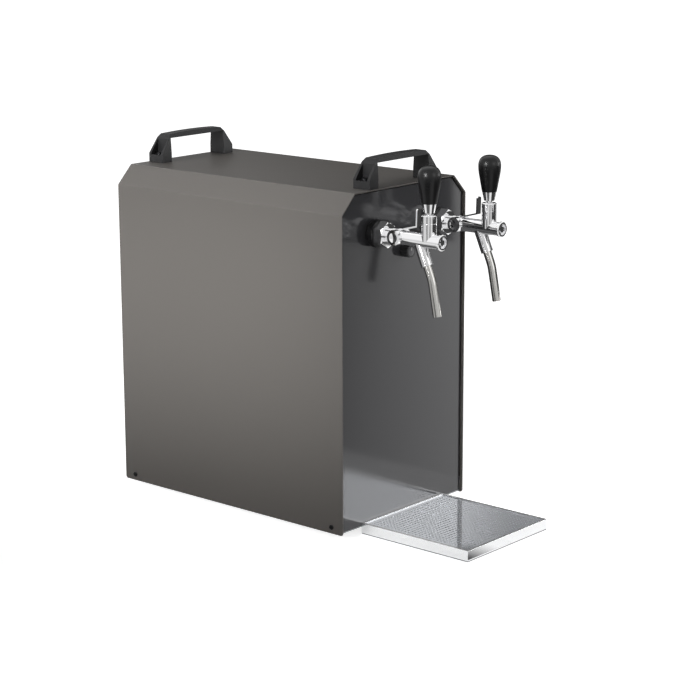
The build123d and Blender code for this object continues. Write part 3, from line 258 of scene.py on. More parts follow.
def grain(tree: Tree, size_mm: float, detail: float = 2.0,
          stretch: Point = (1.0, 1.0, 1.0)) -> Socket:
    """Lays out noise whose features are size_mm across, in the object's own metres.

    Args:
        tree: node tree.
        size_mm: size of one feature.
        detail: octaves of finer noise.
        stretch: scale of the coordinates along each axis; below 1 draws the pattern out.

    Returns:
        Socket with the noise, from 0 to 1.
    """
    spot = put(tree, "TexCoord").outputs["Object"]
    spot = put(tree, "Mapping", {"Vector": spot, "Scale": stretch}).outputs["Vector"]
    noise = put(tree, "TexNoise", {"Vector": spot, "Scale": 1 / (size_mm * MM), "Detail": detail})
    return noise.outputs["Fac"]


@dataclass(frozen=True)
class PaintedSheet(Finish):
    """Metallic polyester powder coat on folded steel sheet, cured in an oven.

    The eye gets an even satin sheen with a faint orange peel, and dark reflections of what
    stands on it.
    """

    name: str
    colour: str
    metallic: float = 0.25
    roughness: float = 0.4
    rough_spread: float = 0.02
    cloud_mm: float = 90.0
    flake_mm: float = 0.35  # real flakes are some 0.03 mm: coarser here, so that they show
    flake_mix: Pair = (0.35, 0.65)
    tone_spread: float = 0.12
    peel_mm: float = 1.6
    peel_depth_mm: float = 0.004
    peel_strength: float = 0.5

    def shade(self, tree: Tree) -> Node:
        """Builds the paint: flake noise in the colour, peel in the bump.

        Args:
            tree: the material's empty node tree.

        Returns:
            The shader node.
        """
        flake = put(tree, "MapRange", {
            "Value": grain(tree, self.flake_mm, 1.0),
            "To Min": self.flake_mix[0], "To Max": self.flake_mix[1]})
        tint = put(tree, "Mix", {
            "Factor": flake.outputs["Result"], "A": toned(self.colour, 1 - self.tone_spread),
            "B": toned(self.colour, 1 + self.tone_spread)}, data_type="RGBA")
        bump = put(tree, "Bump", {
            "Height": grain(tree, self.peel_mm), "Strength": self.peel_strength,
            "Distance": self.peel_depth_mm * MM})
        rough = put(tree, "MapRange", {
            "Value": grain(tree, self.cloud_mm, 1.0),
            "To Min": self.roughness - self.rough_spread,
            "To Max": self.roughness + self.rough_spread})
        return put(tree, "BsdfPrincipled", {
            "Base Color": tint.outputs["Result"], "Metallic": self.metallic,
            "Roughness": rough.outputs["Result"], "Normal": bump.outputs["Normal"]})


@dataclass(frozen=True)
class GlossEnamel(Finish):
    """Wet-look black enamel under clear lacquer, on flat steel sheet.

    The eye gets a dark mirror: the taps and the tray show again in it, a little softened.
    """

    name: str
    colour: str
    roughness: float = 0.11
    haze_mm: float = 60.0
    haze_range: Pair = (0.8, 1.3)
    lacquer_ior: float = 1.6
    wave_mm: float = 22.0
    wave_depth_mm: float = 0.01
    wave_strength: float = 0.4

    def shade(self, tree: Tree) -> Node:
        """Builds the enamel: a dark base under hard lacquer, with long shallow waves.

        Args:
            tree: the material's empty node tree.

        Returns:
            The shader node.
        """
        bump = put(tree, "Bump", {
            "Height": grain(tree, self.wave_mm, 1.0), "Strength": self.wave_strength,
            "Distance": self.wave_depth_mm * MM})
        haze = put(tree, "MapRange", {
            "Value": grain(tree, self.haze_mm, 3.0),
            "To Min": self.roughness * self.haze_range[0],
            "To Max": self.roughness * self.haze_range[1]})
        return put(tree, "BsdfPrincipled", {
            "Base Color": linear(self.colour), "Roughness": haze.outputs["Result"],
            "IOR": self.lacquer_ior, "Normal": bump.outputs["Normal"]})


@dataclass(frozen=True)
class PlatedMetal(Finish):
    """Polished metal, such as chrome plate on cast brass.

    The eye gets a mirror with faint cloudy polishing marks.
    """

    name: str
    colour: str
    roughness: float = 0.05
    mark_mm: float = 3.0
    mark_range: Pair = (0.6, 1.6)
    wave_mm: float = 9.0
    wave_depth_mm: float = 0.01
    wave_strength: float = 0.25

    def shade(self, tree: Tree) -> Node:
        """Builds the plate: a bright metal whose roughness drifts a little.

        Args:
            tree: the material's empty node tree.

        Returns:
            The shader node.
        """
        rough = put(tree, "MapRange", {
            "Value": grain(tree, self.mark_mm, 4.0),
            "To Min": self.roughness * self.mark_range[0],
            "To Max": self.roughness * self.mark_range[1]})
        bump = put(tree, "Bump", {
            "Height": grain(tree, self.wave_mm, 1.0), "Strength": self.wave_strength,
            "Distance": self.wave_depth_mm * MM})
        return put(tree, "BsdfPrincipled", {
            "Base Color": linear(self.colour), "Metallic": 1.0,
            "Roughness": rough.outputs["Result"], "Normal": bump.outputs["Normal"]})


@dataclass(frozen=True)
class BrushedSteel(Finish):
    """Stainless sheet with the fine parallel lines of a belt grinder.

    The eye gets bright sheet whose highlights draw out across the lines.
    """

    name: str
    colour: str
    roughness: float = 0.22
    rough_range: Pair = (0.75, 1.25)
    metallic: float = 1.0
    anisotropy: float = 0.4
    line_mm: float = 0.25  # grit 240 leaves lines of some 0.05 mm: coarser here, so that they show
    along: Point = (0.02, 1.0, 1.0)
    line_depth_mm: float = 0.01
    line_strength: float = 0.3

    def shade(self, tree: Tree) -> Node:
        """Builds the steel: its lines show in roughness and bump.

        Args:
            tree: the material's empty node tree.

        Returns:
            The shader node.
        """
        lines = grain(tree, self.line_mm, 2.0, self.along)
        bump = put(tree, "Bump", {
            "Height": lines, "Strength": self.line_strength, "Distance": self.line_depth_mm * MM})
        rough = put(tree, "MapRange", {
            "Value": lines, "To Min": self.roughness * self.rough_range[0],
            "To Max": self.roughness * self.rough_range[1]})
        return put(tree, "BsdfPrincipled", {
            "Base Color": linear(self.colour), "Metallic": self.metallic,
            "Roughness": rough.outputs["Result"], "Anisotropic": self.anisotropy,
            "Normal": bump.outputs["Normal"]})


@dataclass(frozen=True)
class MouldedPlastic(Finish):
    """Filled nylon, ABS or rubber from a spark-eroded mould.

    The eye gets a dark matt skin with a fine even grain, smoother where hands rub it.
    """

    name: str
    colour: str
    roughness: float = 0.5
    rub_mm: float = 18.0
    rub_spread: float = 0.06
    tone_mm: float = 30.0
    tone_spread: float = 0.15
    grain_mm: float = 0.5  # real mould grain is some 0.1 mm: coarser here, so that it shows
    depth_mm: float = 0.02
    grain_strength: float = 0.5
    specular: float = 0.5

    def shade(self, tree: Tree) -> Node:
        """Builds the plastic: cell-like grain in the bump, slow drift in roughness and tone.

        Args:
            tree: the material's empty node tree.

        Returns:
            The shader node.
        """
        spot = put(tree, "TexCoord").outputs["Object"]
        cells = put(tree, "TexVoronoi", {"Vector": spot, "Scale": 1 / (self.grain_mm * MM)})
        bump = put(tree, "Bump", {
            "Height": cells.outputs["Distance"], "Strength": self.grain_strength,
            "Distance": self.depth_mm * MM})
        rub = put(tree, "MapRange", {
            "Value": grain(tree, self.rub_mm), "To Min": self.roughness - self.rub_spread,
            "To Max": self.roughness + self.rub_spread})
        tint = put(tree, "Mix", {
            "Factor": grain(tree, self.tone_mm), "A": toned(self.colour, 1 - self.tone_spread),
            "B": toned(self.colour, 1 + self.tone_spread)}, data_type="RGBA")
        return put(tree, "BsdfPrincipled", {
            "Base Color": tint.outputs["Result"], "Roughness": rub.outputs["Result"],
            "Specular IOR Level": self.specular, "Normal": bump.outputs["Normal"]})


@dataclass(frozen=True)
class ZincCoat(Finish):
    """Hot-dip galvanised steel, with zinc crystals a few millimetres across.

    The eye gets a patchwork of slightly different greys, dull beside the polished pieces.
    """

    name: str
    colour: str
    crystal_mm: float = 6.0
    darkest: float = 0.75
    rough_range: Pair = (0.3, 0.5)

    def shade(self, tree: Tree) -> Node:
        """Builds the zinc: crystal cells that differ in grey and roughness.

        Args:
            tree: the material's empty node tree.

        Returns:
            The shader node.
        """
        spot = put(tree, "TexCoord").outputs["Object"]
        cells = put(tree, "TexVoronoi", {"Vector": spot, "Scale": 1 / (self.crystal_mm * MM)})
        level = put(tree, "SeparateColor", {"Color": cells.outputs["Color"]})
        tint = put(tree, "Mix", {
            "Factor": level.outputs["Red"], "A": toned(self.colour, self.darkest),
            "B": linear(self.colour)}, data_type="RGBA")
        rough = put(tree, "MapRange", {
            "Value": level.outputs["Red"], "To Min": self.rough_range[0],
            "To Max": self.rough_range[1]})
        return put(tree, "BsdfPrincipled", {
            "Base Color": tint.outputs["Result"], "Metallic": 1.0,
            "Roughness": rough.outputs["Result"]})


@dataclass(frozen=True)
class RigidFoam(Finish):
    """Polyurethane foam, blown in a mould.

    The eye gets a pale chalky skin, pitted with small cells.
    """

    name: str
    colour: str
    roughness: float = 0.85
    cell_mm: float = 1.2
    cell_depth_mm: float = 0.3
    cell_strength: float = 0.6

    def shade(self, tree: Tree) -> Node:
        """Builds the foam: small cells in the bump.

        Args:
            tree: the material's empty node tree.

        Returns:
            The shader node.
        """
        spot = put(tree, "TexCoord").outputs["Object"]
        cells = put(tree, "TexVoronoi", {"Vector": spot, "Scale": 1 / (self.cell_mm * MM)})
        bump = put(tree, "Bump", {
            "Height": cells.outputs["Distance"], "Strength": self.cell_strength,
            "Distance": self.cell_depth_mm * MM})
        return put(tree, "BsdfPrincipled", {
            "Base Color": linear(self.colour), "Roughness": self.roughness,
            "Normal": bump.outputs["Normal"]})


class Finishes(Enum):
    """Every finish of the chiller, each with what it gives the eye."""

    # powder coat on folded steel: dark satin with a faint peel
    WRAP = PaintedSheet("graphite_powder_coat", "#524f4c")
    # lacquered enamel on flat steel: a dark mirror
    PANEL = GlossEnamel("black_gloss_enamel", "#353537")
    # enamel sprayed on a pressed shell: even black gloss
    ENAMEL = GlossEnamel("black_compressor_enamel", "#1d1d1e", roughness=0.3)
    # chrome plate on polished cast brass: a hard bright mirror
    CHROME = PlatedMetal("chrome_plate_on_brass", "#f2f2f3")
    # chrome plate over blasted brass: soft grey streaks
    SATIN = PlatedMetal("satin_chrome_plate", "#c6c6c7", roughness=0.13)
    # stainless tube drawn through a die: a mirror softened along the tube
    TUBE = PlatedMetal("drawn_stainless_tube", "#acaba8", roughness=0.13)
    # steel blackened in a salt bath: oily dark grey
    SCREW = PlatedMetal("black_oxide_screw", "#2b2b2d", roughness=0.35)
    # aluminium as it leaves the mould: pale and dull
    CASTING = PlatedMetal("as_cast_aluminium", "#b4b6b8", roughness=0.42)
    # copper drawn bright: a warm sheen
    COPPER = PlatedMetal("drawn_copper_tube", "#b8734e", roughness=0.25)
    # nickel plate on brass blades: a pale warm mirror
    PIN = PlatedMetal("nickel_plated_pin", "#c8c4b8", roughness=0.2)
    # stainless sheet ground on a belt: bright, with highlights drawn out
    STEEL = BrushedSteel("belt_ground_stainless", "#f6f7f8")
    # the same sheet's turned edge: its dull grey is painted shadow, the dark line under the tray's
    # walls
    HEM_PAINTED_SHADOW = BrushedSteel("hem_steel_painted_shadow", "#7c7e81", roughness=0.35)
    # thin stainless, punched and levelled: part mirror, part matt between its holes
    PERFORATED = BrushedSteel("punched_stainless_sheet", "#eef1f6", roughness=0.05,
                              metallic=0.7, line_depth_mm=0.001)
    # glass-filled nylon from an eroded mould: matt, with a fine grain
    HANDLE = MouldedPlastic("glass_filled_nylon", "#1c1c1d", roughness=0.42, grain_mm=0.6,
                            specular=0.3)
    # acetal turned on a lathe: black with a low sheen on its ribs
    COLLAR = MouldedPlastic("turned_black_acetal", "#0e0e0f", roughness=0.34, grain_mm=0.4,
                            depth_mm=0.005, specular=0.3)
    # phenolic resin, pressed and polished: deep black with soft highlights
    KNOB = MouldedPlastic("polished_phenolic", "#0e0e0f", roughness=0.3, grain_mm=0.8,
                          depth_mm=0.002, specular=0.3)
    # ABS from a smooth mould: satin black
    DIAL = MouldedPlastic("black_abs", "#1b1b1c", roughness=0.4, grain_mm=0.4, depth_mm=0.008)
    # the same in grey: a flat satin disc
    DIAL_FACE = MouldedPlastic("grey_abs", "#5a5a5c", roughness=0.45, grain_mm=0.4,
                               depth_mm=0.005)
    # nylon moulded for heat: matt black
    SOCKET = MouldedPlastic("black_nylon", "#1a1a1b", grain_mm=0.4)
    # polycarbonate from a polished mould: glossy black
    ROCKER = MouldedPlastic("black_polycarbonate", "#202021", roughness=0.3, grain_mm=0.4,
                            depth_mm=0.003)
    # ink laid on with a pad: flat matt white
    MARK = MouldedPlastic("white_pad_print", "#e4e4e0", roughness=0.6, grain_mm=0.4,
                          depth_mm=0.001)
    # acetal, moulded: waxy grey
    FITTING = MouldedPlastic("grey_acetal", "#8f9294", roughness=0.4, depth_mm=0.006)
    # rubber pressed in a mould: matt black that takes no highlight
    RUBBER = MouldedPlastic("nitrile_rubber", "#161616", roughness=0.72, grain_mm=0.7,
                            depth_mm=0.03)
    # sheet dipped in molten zinc: a patchwork of greys
    ZINC = ZincCoat("galvanised_sheet", "#a9acae")
    # foam blown in a mould: pale and chalky
    FOAM = RigidFoam("polyurethane_foam", "#dcd6bd")


def finish_nodes(finish: Finishes, nodes: Sequence[str], rounding_mm: float = 0.0,
                 steps: int = 2) -> None:
    """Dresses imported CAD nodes, and rounds their edges if asked.

    Args:
        finish: finish of the nodes.
        nodes: names of the nodes.
        rounding_mm: edge rounding, or 0 for none.
        steps: segments of the rounding.
    """
    for name in nodes:
        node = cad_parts[name]
        dress(node, finish.value.material())
        if rounding_mm:
            soften(node, rounding_mm, steps)
    LOG.info("%s: %s", finish.value.name, ", ".join(nodes))


def seat(piece: Piece, body: str, slot: str, finish: Finishes, *replaced: str) -> None:
    """Dresses a new piece and fixes it to its body.

    Args:
        piece: the new piece.
        body: CAD body that it moves with.
        slot: material slot of the record; not used.
        finish: its finish.
        *replaced: CAD nodes that it stands for.
    """
    dress(piece, finish.value.material())
    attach(piece, body)
    if replaced:
        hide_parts(*replaced)
    LOG.info("piece %s rides on %s", piece.name, body)


def box_mm(node: str) -> tuple[Vector, Vector]:
    """Lowest and highest corner of a CAD node's box, in mm."""
    low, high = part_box(node)
    return low / MM, high / MM


def centre_mm(node: str) -> Vector:
    """Middle of a CAD node's box, in mm."""
    low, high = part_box(node)
    return (low + high) / 2 / MM


# ------------------------------------------------------------------ sub-assemblies
@dataclass
class Cabinet:
    """Folded wrap, panels, base pan, feet and their screws. Sizes in mm."""

    wrap_rounding: float = 0.35
    rear_screw_radius: float = 3.4
    rear_screw_height: float = 1.5
    rear_screw_inset: float = 9.0
    lowest_screw_up: float = 30.0
    highest_screw_down: float = 45.0
    inlet_flange: float = 2.0

    def build(self) -> None:
        """Dresses the cabinet and adds the rear panel's screws."""
        finish_nodes(Finishes.WRAP, ["outer_wrap"], self.wrap_rounding)
        finish_nodes(Finishes.WRAP, ["rear_panel"])
        finish_nodes(Finishes.PANEL, ["front_panel"])
        finish_nodes(Finishes.ZINC, ["base_pan", "inner_frame"])
        finish_nodes(Finishes.RUBBER, ["rubber_feet"])
        finish_nodes(Finishes.SCREW, ["cover_screws", "handle_screws"])
        self.rear_screws()

    def rear_screws(self) -> None:
        """Adds the pan-head screws that hold the rear panel."""
        low, high = box_mm("rear_panel")
        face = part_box("mains_inlet")[1].y / MM - self.inlet_flange
        heights = (low.z + self.lowest_screw_up, (low.z + high.z) / 2,
                   high.z - self.highest_screw_down)
        for i, z in enumerate(heights):
            for side in (-1, 1):
                x = side * (high.x - self.rear_screw_inset)
                name = f"rear_screw_{'left' if side < 0 else 'right'}_{i + 1}"
                head = self.pan_head(name, (x, face, z))
                seat(head, "cabinet", "black_screw", Finishes.SCREW)

    def pan_head(self, name: str, foot: Point) -> Piece:
        """Makes one rounded screw head with a round recess, facing +Y.

        Args:
            name: name of the piece.
            foot: middle of its seat in mm.

        Returns:
            The screw head.
        """
        r, h = self.rear_screw_radius, self.rear_screw_height
        # shares of radius and height: seat, side, crown, recess
        outline = ((0.0, 0.0), (1.0, 0.0), (1.0, 0.45), (0.86, 0.8), (0.6, 1.0), (0.42, 1.0),
                   (0.3, 0.45), (0.0, 0.4))
        return lathe(name, [(r * a, h * b) for a, b in outline], foot, (0, 1, 0), 32)


@dataclass
class CarryHandles:
    """The two bridge handles on top."""

    rounding_mm: float = 1.1

    def build(self) -> None:
        """Dresses both handles and rounds their moulded edges."""
        finish_nodes(Finishes.HANDLE, ["front_handle", "rear_handle"], self.rounding_mm, 3)


@dataclass
class Taps:
    """The two compensator taps with their levers."""

    sides: tuple[str, ...] = ("left", "right")

    def build(self) -> None:
        """Dresses all pieces of both taps."""
        for side in self.sides:
            finish_nodes(Finishes.CHROME, [f"{side}_{piece}" for piece in (
                "tap_body", "bonnet_nut", "lever_rod", "flow_lever")])
            finish_nodes(Finishes.TUBE, [f"{side}_spout"])
            finish_nodes(Finishes.KNOB, [f"{side}_lever_knob"])
            finish_nodes(Finishes.TUBE, [f"{side}_valve_plunger"])
            finish_nodes(Finishes.RUBBER, [f"{side}_valve_seal"])
        finish_nodes(Finishes.CHROME, ["coupling_nuts", "end_caps", "spindle_plugs", "shanks",
                                       "shank_back_nuts"])
        finish_nodes(Finishes.SATIN, ["spout_sleeves"])
        finish_nodes(Finishes.COLLAR, ["collars"])
        finish_nodes(Finishes.RUBBER, ["shank_washers"])
        finish_nodes(Finishes.TUBE, ["front_beer_lines", "rear_beer_lines"])


@dataclass
class Thermostat:
    """Control dial with its grey face and index line. Sizes in mm."""

    face_radius: float = 6.2
    face_height: float = 0.3
    face_edge: float = 0.3
    index_half: float = 0.45
    index_proud: float = 0.12
    index_sunk: float = 0.05
    index_start: float = 1.5
    index_margin: float = 0.7

    def build(self) -> None:
        """Dresses the thermostat and adds the dial's face."""
        finish_nodes(Finishes.DIAL, ["thermostat_dial"])
        finish_nodes(Finishes.SOCKET, ["thermostat_body"])
        finish_nodes(Finishes.TUBE, ["thermostat_shaft"])
        finish_nodes(Finishes.COPPER, ["sensor_tube"])
        low, high = box_mm("thermostat_dial")
        middle = (low + high) / 2
        r, h = self.face_radius, self.face_height
        face = lathe("dial_face", [(0, 0), (r, 0), (r, h * 0.5), (r - self.face_edge, h), (0, h)],
                     (middle.x, low.y, middle.z), (0, -1, 0), 48)
        seat(face, "thermostat_control", "black_moulding", Finishes.DIAL_FACE)
        front = low.y - h
        index = block("dial_index", (middle.x - self.index_half, front - self.index_proud,
                                     middle.z + self.index_start),
                      (middle.x + self.index_half, front + self.index_sunk,
                       middle.z + r - self.index_margin))
        seat(index, "thermostat_control", "black_moulding", Finishes.MARK)


@dataclass
class DripTray:
    """Folded tray with its finely perforated grid. Sizes in mm."""

    # real plates have holes of some 2 mm at 3 mm pitch: coarser here, so that they show
    pitch: float = 6.2
    hole: float = 1.9  # radius
    border: float = 4.0
    edge_fold: float = 1.6
    edge_rise: float = 1.3
    sheet: float = 1.2
    wall_rounding: float = 0.4
    hem_inset: float = 0.35
    hem_clear: float = 0.3
    hem_overlap: float = 0.05

    def build(self) -> None:
        """Dresses the tray and puts the perforated grid in it."""
        finish_nodes(Finishes.STEEL, ["drip_pan"], self.wall_rounding)
        finish_nodes(Finishes.RUBBER, ["drip_pan_pads"])
        # the hem's dark grey stands in for the shadow under the tray's walls: painted shadow
        seat(self.turned_hem(), "drip_tray", "steel", Finishes.HEM_PAINTED_SHADOW)
        seat(self.perforated_grid(), "tray_grid", "steel", Finishes.PERFORATED, "drip_grid")

    def turned_hem(self) -> Piece:
        """Makes the turned-in edge that runs under the tray's walls.

        Returns:
            The hem, a little inside the walls and just clear of the table.
        """
        low, high = box_mm("drip_pan")
        points: list[Point] = []
        faces: list[tuple[int, ...]] = []
        for z in (self.hem_clear, low.z + self.hem_overlap):
            for inset in (self.hem_inset, self.hem_inset + self.sheet):
                points += [(x * MM, y * MM, z * MM) for x, y in (
                    (low.x + inset, low.y + inset), (high.x - inset, low.y + inset),
                    (high.x - inset, high.y - inset), (low.x + inset, high.y - inset))]
        for k in range(4):
            n = (k + 1) % 4
            faces += [(k, n, 4 + n, 4 + k), (8 + k, 12 + k, 12 + n, 8 + n), (k, 8 + k, 8 + n, n),
                      (4 + k, 4 + n, 12 + n, 12 + k)]
        return add_mesh("tray_hem", points, faces)

    def perforated_grid(self) -> Piece:
        """Makes the plate with its rows of holes.

        Each hole is eight-sided in a square cell: 8 points of the cell's outline, then 8 of the
        hole, on the lower and then on the upper face.

        Returns:
            The grid, as large as the CAD plate.
        """
        low, high = box_mm("drip_grid")
        across = int((high.x - low.x - 2 * self.border) / self.pitch)
        along = int((high.y - low.y - 2 * self.border) / self.pitch)
        middle = (low + high) / 2
        x0, y0 = middle.x - across * self.pitch / 2, middle.y - along * self.pitch / 2
        half = self.pitch / 2
        corners = [(half * round(sqrt(2) * cos(k * pi / 4)),
                    half * round(sqrt(2) * sin(k * pi / 4))) for k in range(8)]
        ring = [(self.hole * cos(k * pi / 4), self.hole * sin(k * pi / 4)) for k in range(8)]
        points: list[Point] = []
        faces: list[tuple[int, ...]] = []
        for i in range(across):
            for j in range(along):
                cx, cy = x0 + (i + 0.5) * self.pitch, y0 + (j + 0.5) * self.pitch
                base = len(points)
                for z in (low.z, high.z):
                    points += [((cx + a) * MM, (cy + b) * MM, z * MM) for a, b in corners + ring]
                for k in range(8):
                    n = (k + 1) % 8
                    faces.append((base + k, base + 8 + k, base + 8 + n, base + n))
                    faces.append((base + 16 + k, base + 16 + n, base + 24 + n, base + 24 + k))
                    faces.append((base + 8 + k, base + 24 + k, base + 24 + n, base + 8 + n))
        field_box = (x0, y0, x0 + across * self.pitch, y0 + along * self.pitch)
        self.add_border(points, faces, low, high, field_box)
        return add_mesh("perforated_grid", points, faces)

    def add_border(self, points: list[Point], faces: list[tuple[int, ...]], low: Vector,
                   high: Vector, field_box: tuple[float, float, float, float]) -> None:
        """Adds the plain border round the holes, its outer edge pressed up to the tray's rim.

        Args:
            points: vertices so far, in metres.
            faces: faces so far.
            low: lowest corner of the plate in mm.
            high: highest corner of the plate in mm.
            field_box: x and y limits of the field of holes in mm.
        """
        fold, rise = self.edge_fold, self.edge_rise
        bend = (low.x + fold, low.y + fold, high.x - fold, high.y - fold)
        outer = (low.x, low.y, high.x, high.y)
        section = ((field_box, low.z), (field_box, high.z), (bend, high.z),
                   (outer, high.z + rise), (outer, low.z + rise), (bend, low.z))
        base = len(points)
        for (x0, y0, x1, y1), z in section:
            points += [(x * MM, y * MM, z * MM)
                       for x, y in ((x0, y0), (x1, y0), (x1, y1), (x0, y1))]
        # no face joins the first two rings: there the border meets the cells
        for ring in range(1, len(section)):
            here, after = base + 4 * ring, base + 4 * ((ring + 1) % len(section))
            faces += [(here + k, after + k, after + (k + 1) % 4, here + (k + 1) % 4)
                      for k in range(4)]


@dataclass
class RearConnections:
    """Mains inlet, switch and product inlets behind. Sizes in mm, slopes in radians."""

    inlet_wall: float = 1.5
    pin_reach: float = 11.1
    pin_half: Pair = (1.12, 2.12)
    pin_tip: float = 1.2
    pin_taper: float = 0.93
    pin_spots: tuple[Pair, ...] = ((-7.0, -2.0), (0.0, 2.0), (7.0, -2.0))
    fitting_half: float = 11.0
    collet_outer: float = 4.7
    collet_inner: float = 3.3
    collet_length: float = 7.0
    collet_sunk: float = 0.1
    collet_edge: Pair = (0.3, 0.4)
    collet_lead: float = 0.5
    rocker_pivot: float = 2.6
    rocker_faces: tuple[Point, ...] = ((3.02, 3.07, 0.4087), (1.92, -3.85, -0.0947))
    mark_radius: float = 1.5
    mark_line: float = 0.5
    mark_sides: int = 32
    mark_levels: Pair = (-0.3, 0.06)

    def build(self) -> None:
        """Dresses the rear pieces and adds the plated pins, the collets and the marks."""
        finish_nodes(Finishes.SOCKET, ["mains_inlet", "switch_bezel"])
        finish_nodes(Finishes.ROCKER, ["power_rocker"])
        finish_nodes(Finishes.FITTING, ["product_inlets"])
        for i, (x, z) in enumerate(self.pin_spots):
            seat(self.pin(f"mains_pin_{i + 1}", x, z), "cabinet", "steel", Finishes.PIN)
        for name, side in (("left_collet", -1), ("right_collet", 1)):
            seat(self.collet(name, side), "cabinet", "black_moulding", Finishes.COLLAR)
        seat(self.on_mark(), "power_switch", "black_moulding", Finishes.MARK)
        seat(self.off_mark(), "power_switch", "black_moulding", Finishes.MARK)

    def pin(self, name: str, x: float, z: float) -> Piece:
        """Makes the plated skin of one blade pin, with a tapered tip.

        Args:
            name: name of the piece.
            x: distance to the right of the inlet's middle in mm.
            z: height above the inlet's middle in mm.

        Returns:
            The pin.
        """
        low, _ = box_mm("mains_inlet")
        middle = centre_mm("mains_inlet")
        half_x, half_z = self.pin_half
        root = low.y + self.inlet_wall
        tip = root + self.pin_reach
        rings = ((root, 1.0), (tip - self.pin_tip, 1.0), (tip, self.pin_taper))
        points = [((middle.x + x + a * half_x * k) * MM, y * MM,
                   (middle.z + z + b * half_z * k) * MM)
                  for y, k in rings for a, b in ((-1, -1), (1, -1), (1, 1), (-1, 1))]
        faces = [(0, 3, 2, 1), (8, 9, 10, 11)]
        for r in (0, 4):
            faces += [(r + k, r + (k + 1) % 4, r + 4 + (k + 1) % 4, r + 4 + k) for k in range(4)]
        return add_mesh(name, points, faces)

    def collet(self, name: str, side: int) -> Piece:
        """Makes the release ring in the mouth of one push-in fitting.

        Args:
            name: name of the piece.
            side: -1 for the left fitting, 1 for the right one.

        Returns:
            The ring.
        """
        low, high = box_mm("product_inlets")
        outer, inner, deep = self.collet_outer, self.collet_inner, self.collet_length
        end = deep - self.collet_sunk
        round_in, round_down = self.collet_edge
        foot = (side * (high.x - self.fitting_half), high.y - deep, (low.z + high.z) / 2)
        profile = [(inner, 0.0), (outer, 0.0), (outer, end - round_down), (outer - round_in, end),
                   (inner + self.collet_lead, end), (inner, end - self.collet_lead)]
        return lathe(name, profile, foot, (0, 1, 0), 40)

    def rocker_frame(self, half: int) -> tuple[Vector, Matrix]:
        """Finds one sloping face of the rocker.

        Args:
            half: 0 for the upper face, 1 for the lower one.

        Returns:
            Middle of the face in mm, and a turn whose third column looks out of the face.
        """
        y, z, slope = self.rocker_faces[half]
        middle = centre_mm("switch_bezel")
        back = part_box("switch_bezel")[1].y / MM - self.rocker_pivot
        out = Vector((0.0, cos(slope), -sin(slope)))
        right = Vector((-1.0, 0.0, 0.0))
        turn = Matrix((right, out.cross(right), out)).transposed()
        return Vector((middle.x, back + y, middle.z + z)), turn

    def raise_mark(self, name: str, half: int,
                   rings: Sequence[Sequence[Pair]]) -> Piece:
        """Lays a thin printed ring or bar on the rocker.

        Args:
            name: name of the piece.
            half: face of the rocker.
            rings: outer outline, and inner one if the mark is hollow, in mm on the face.

        Returns:
            The mark, as thick as a coat of print.
        """
        spot, turn = self.rocker_frame(half)
        count = len(rings[0])
        points = [tuple((spot + turn @ Vector((a, b, h))) * MM)
                  for h in self.mark_levels for ring in rings for a, b in ring]
        faces = []
        top = len(rings) * count
        for k in range(count):
            n = (k + 1) % count
            faces.append((k, n, top + n, top + k))
            if len(rings) == 2:
                faces += [(count + k, top + count + k, top + count + n, count + n),
                          (top + k, top + n, top + count + n, top + count + k),
                          (k, count + k, count + n, n)]
        if len(rings) == 1:
            faces += [tuple(range(count)), tuple(range(top, top + count))]
        return add_mesh(name, points, faces)

    def on_mark(self) -> Piece:
        """Makes the bar that marks the on side.

        Returns:
            The bar, upright on the upper face.
        """
        half, reach = self.mark_line / 2, self.mark_radius
        bar = [(-half, -reach), (half, -reach), (half, reach), (-half, reach)]
        return self.raise_mark("switch_on_mark", 0, [bar])

    def off_mark(self) -> Piece:
        """Makes the ring that marks the off side.

        Returns:
            The ring, on the lower face.
        """
        angles = [2 * pi * k / self.mark_sides for k in range(self.mark_sides)]
        rings = [[(r * cos(angle), r * sin(angle)) for angle in angles]
                 for r in (self.mark_radius, self.mark_radius - self.mark_line)]
        return self.raise_mark("switch_off_mark", 1, rings)


@dataclass
class CoolingUnit:
    """Sealed pieces inside the cabinet."""

    def build(self) -> None:
        """Dresses every inner piece in its real finish."""
        finish_nodes(Finishes.ENAMEL, ["compressor", "fan_motor", "condenser"])
        finish_nodes(Finishes.RUBBER, ["compressor_grommets"])
        finish_nodes(Finishes.SOCKET, ["start_relay"])
        finish_nodes(Finishes.ZINC, ["fan_shroud"])
        finish_nodes(Finishes.CASTING, ["fan_rotor", "chill_block"])
        finish_nodes(Finishes.COPPER, ["suction_pipe", "discharge_pipe", "filter_drier"])
        finish_nodes(Finishes.FOAM, ["insulation"])


# ------------------------------------------------------------------ studio
@dataclass
class Softbox:
    """One soft lamp. Places and sizes in metres, power in watts."""

    name: str
    place: Point
    target: Point
    size: Pair
    power: float
    spread_deg: float = 180.0
    mirrored: bool = True

    def build(self) -> None:
        """Adds the lamp, turned to its target."""
        light = bpy.data.lights.new(self.name, "AREA")
        light.shape = "RECTANGLE"
        light.size, light.size_y = self.size
        light.energy = self.power
        light.spread = radians(self.spread_deg)
        lamp = bpy.data.objects.new(self.name, light)
        bpy.context.scene.collection.objects.link(lamp)
        lamp.location = self.place
        aim = Vector(self.target) - Vector(self.place)
        lamp.rotation_euler = aim.to_track_quat("-Z", "Y").to_euler()
        lamp.visible_camera = False
        lamp.visible_glossy = self.mirrored


